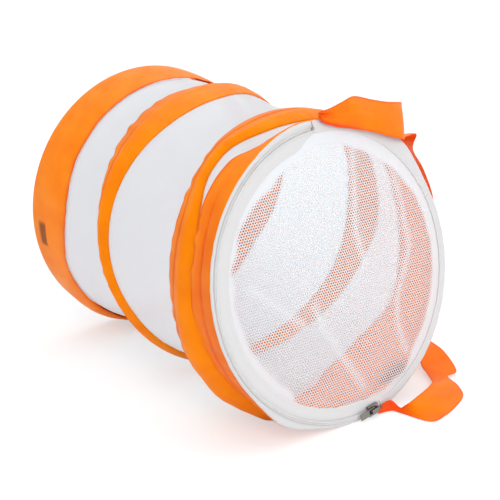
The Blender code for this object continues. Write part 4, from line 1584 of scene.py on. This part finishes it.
class OBJECT_OT_cage_front_band(bpy.types.Operator):
    """Builds the satin skirt of the front hoop"""

    bl_idname = "insect_cage.front_band"
    bl_label = "Front Band"

    def execute(self, context):
        front_band(context)
        return {"FINISHED"}


class OBJECT_OT_cage_spiral(bpy.types.Operator):
    """Builds the spiral wire and its satin casing"""

    bl_idname = "insect_cage.spiral"
    bl_label = "Spiral"

    def execute(self, context):
        spiral_wire(context)
        spiral_casing(context)
        return {"FINISHED"}


class OBJECT_OT_cage_zipper(bpy.types.Operator):
    """Builds the zipper's tapes and coils and the lid's hinge strip"""

    bl_idname = "insect_cage.zipper"
    bl_label = "Zipper"

    def execute(self, context):
        zipper(context)
        return {"FINISHED"}


class OBJECT_OT_cage_metal(bpy.types.Operator):
    """Finishes the hoop wires, clips, stops, slider and pull"""

    bl_idname = "insect_cage.metal_parts"
    bl_label = "Metal Parts"

    def execute(self, context):
        metal_parts(context)
        return {"FINISHED"}


class OBJECT_OT_cage_strap(bpy.types.Operator):
    """Builds the ribbon strap"""

    bl_idname = "insect_cage.carry_strap"
    bl_label = "Carry Strap"

    def execute(self, context):
        carry_strap(context)
        return {"FINISHED"}


operators = (
    OBJECT_OT_cage_stage,
    OBJECT_OT_cage_net_walls,
    OBJECT_OT_cage_back_panel,
    OBJECT_OT_cage_lid_net,
    OBJECT_OT_cage_back_band,
    OBJECT_OT_cage_front_band,
    OBJECT_OT_cage_spiral,
    OBJECT_OT_cage_zipper,
    OBJECT_OT_cage_metal,
    OBJECT_OT_cage_strap,
)


class VIEW3D_PT_insect_cage(bpy.types.Panel):
    """Lists the cage's pieces, sizes and colours"""

    bl_idname = "VIEW3D_PT_insect_cage"
    bl_label = "Insect Cage"
    bl_space_type = "VIEW_3D"
    bl_region_type = "UI"
    bl_category = "Insect Cage"

    def draw(self, context):
        column = self.layout.column(align=True)
        for made in operators:
            column.operator(made.bl_idname)
        for group in (context.scene.insect_cage_sizes, context.scene.insect_cage_colours):
            box = self.layout.box()
            for name in group.__annotations__:
                box.prop(group, name)


classes = (InsectCageSizes, InsectCageColours, *operators, VIEW3D_PT_insect_cage)


def register():
    for made in classes:
        bpy.utils.register_class(made)
    bpy.types.Scene.insect_cage_sizes = bpy.props.PointerProperty(type=InsectCageSizes)
    bpy.types.Scene.insect_cage_colours = bpy.props.PointerProperty(type=InsectCageColours)


def unregister():
    del bpy.types.Scene.insect_cage_colours
    del bpy.types.Scene.insect_cage_sizes
    for made in reversed(classes):
        bpy.utils.unregister_class(made)


def main():
    register()
    bpy.ops.insect_cage.stage()
    bpy.ops.insect_cage.net_walls()
    bpy.ops.insect_cage.back_panel()
    bpy.ops.insect_cage.lid_net()
    bpy.ops.insect_cage.back_band()
    bpy.ops.insect_cage.front_band()
    bpy.ops.insect_cage.spiral()
    bpy.ops.insect_cage.zipper()
    bpy.ops.insect_cage.metal_parts()
    bpy.ops.insect_cage.carry_strap()


if __name__ == "__main__":
    main()
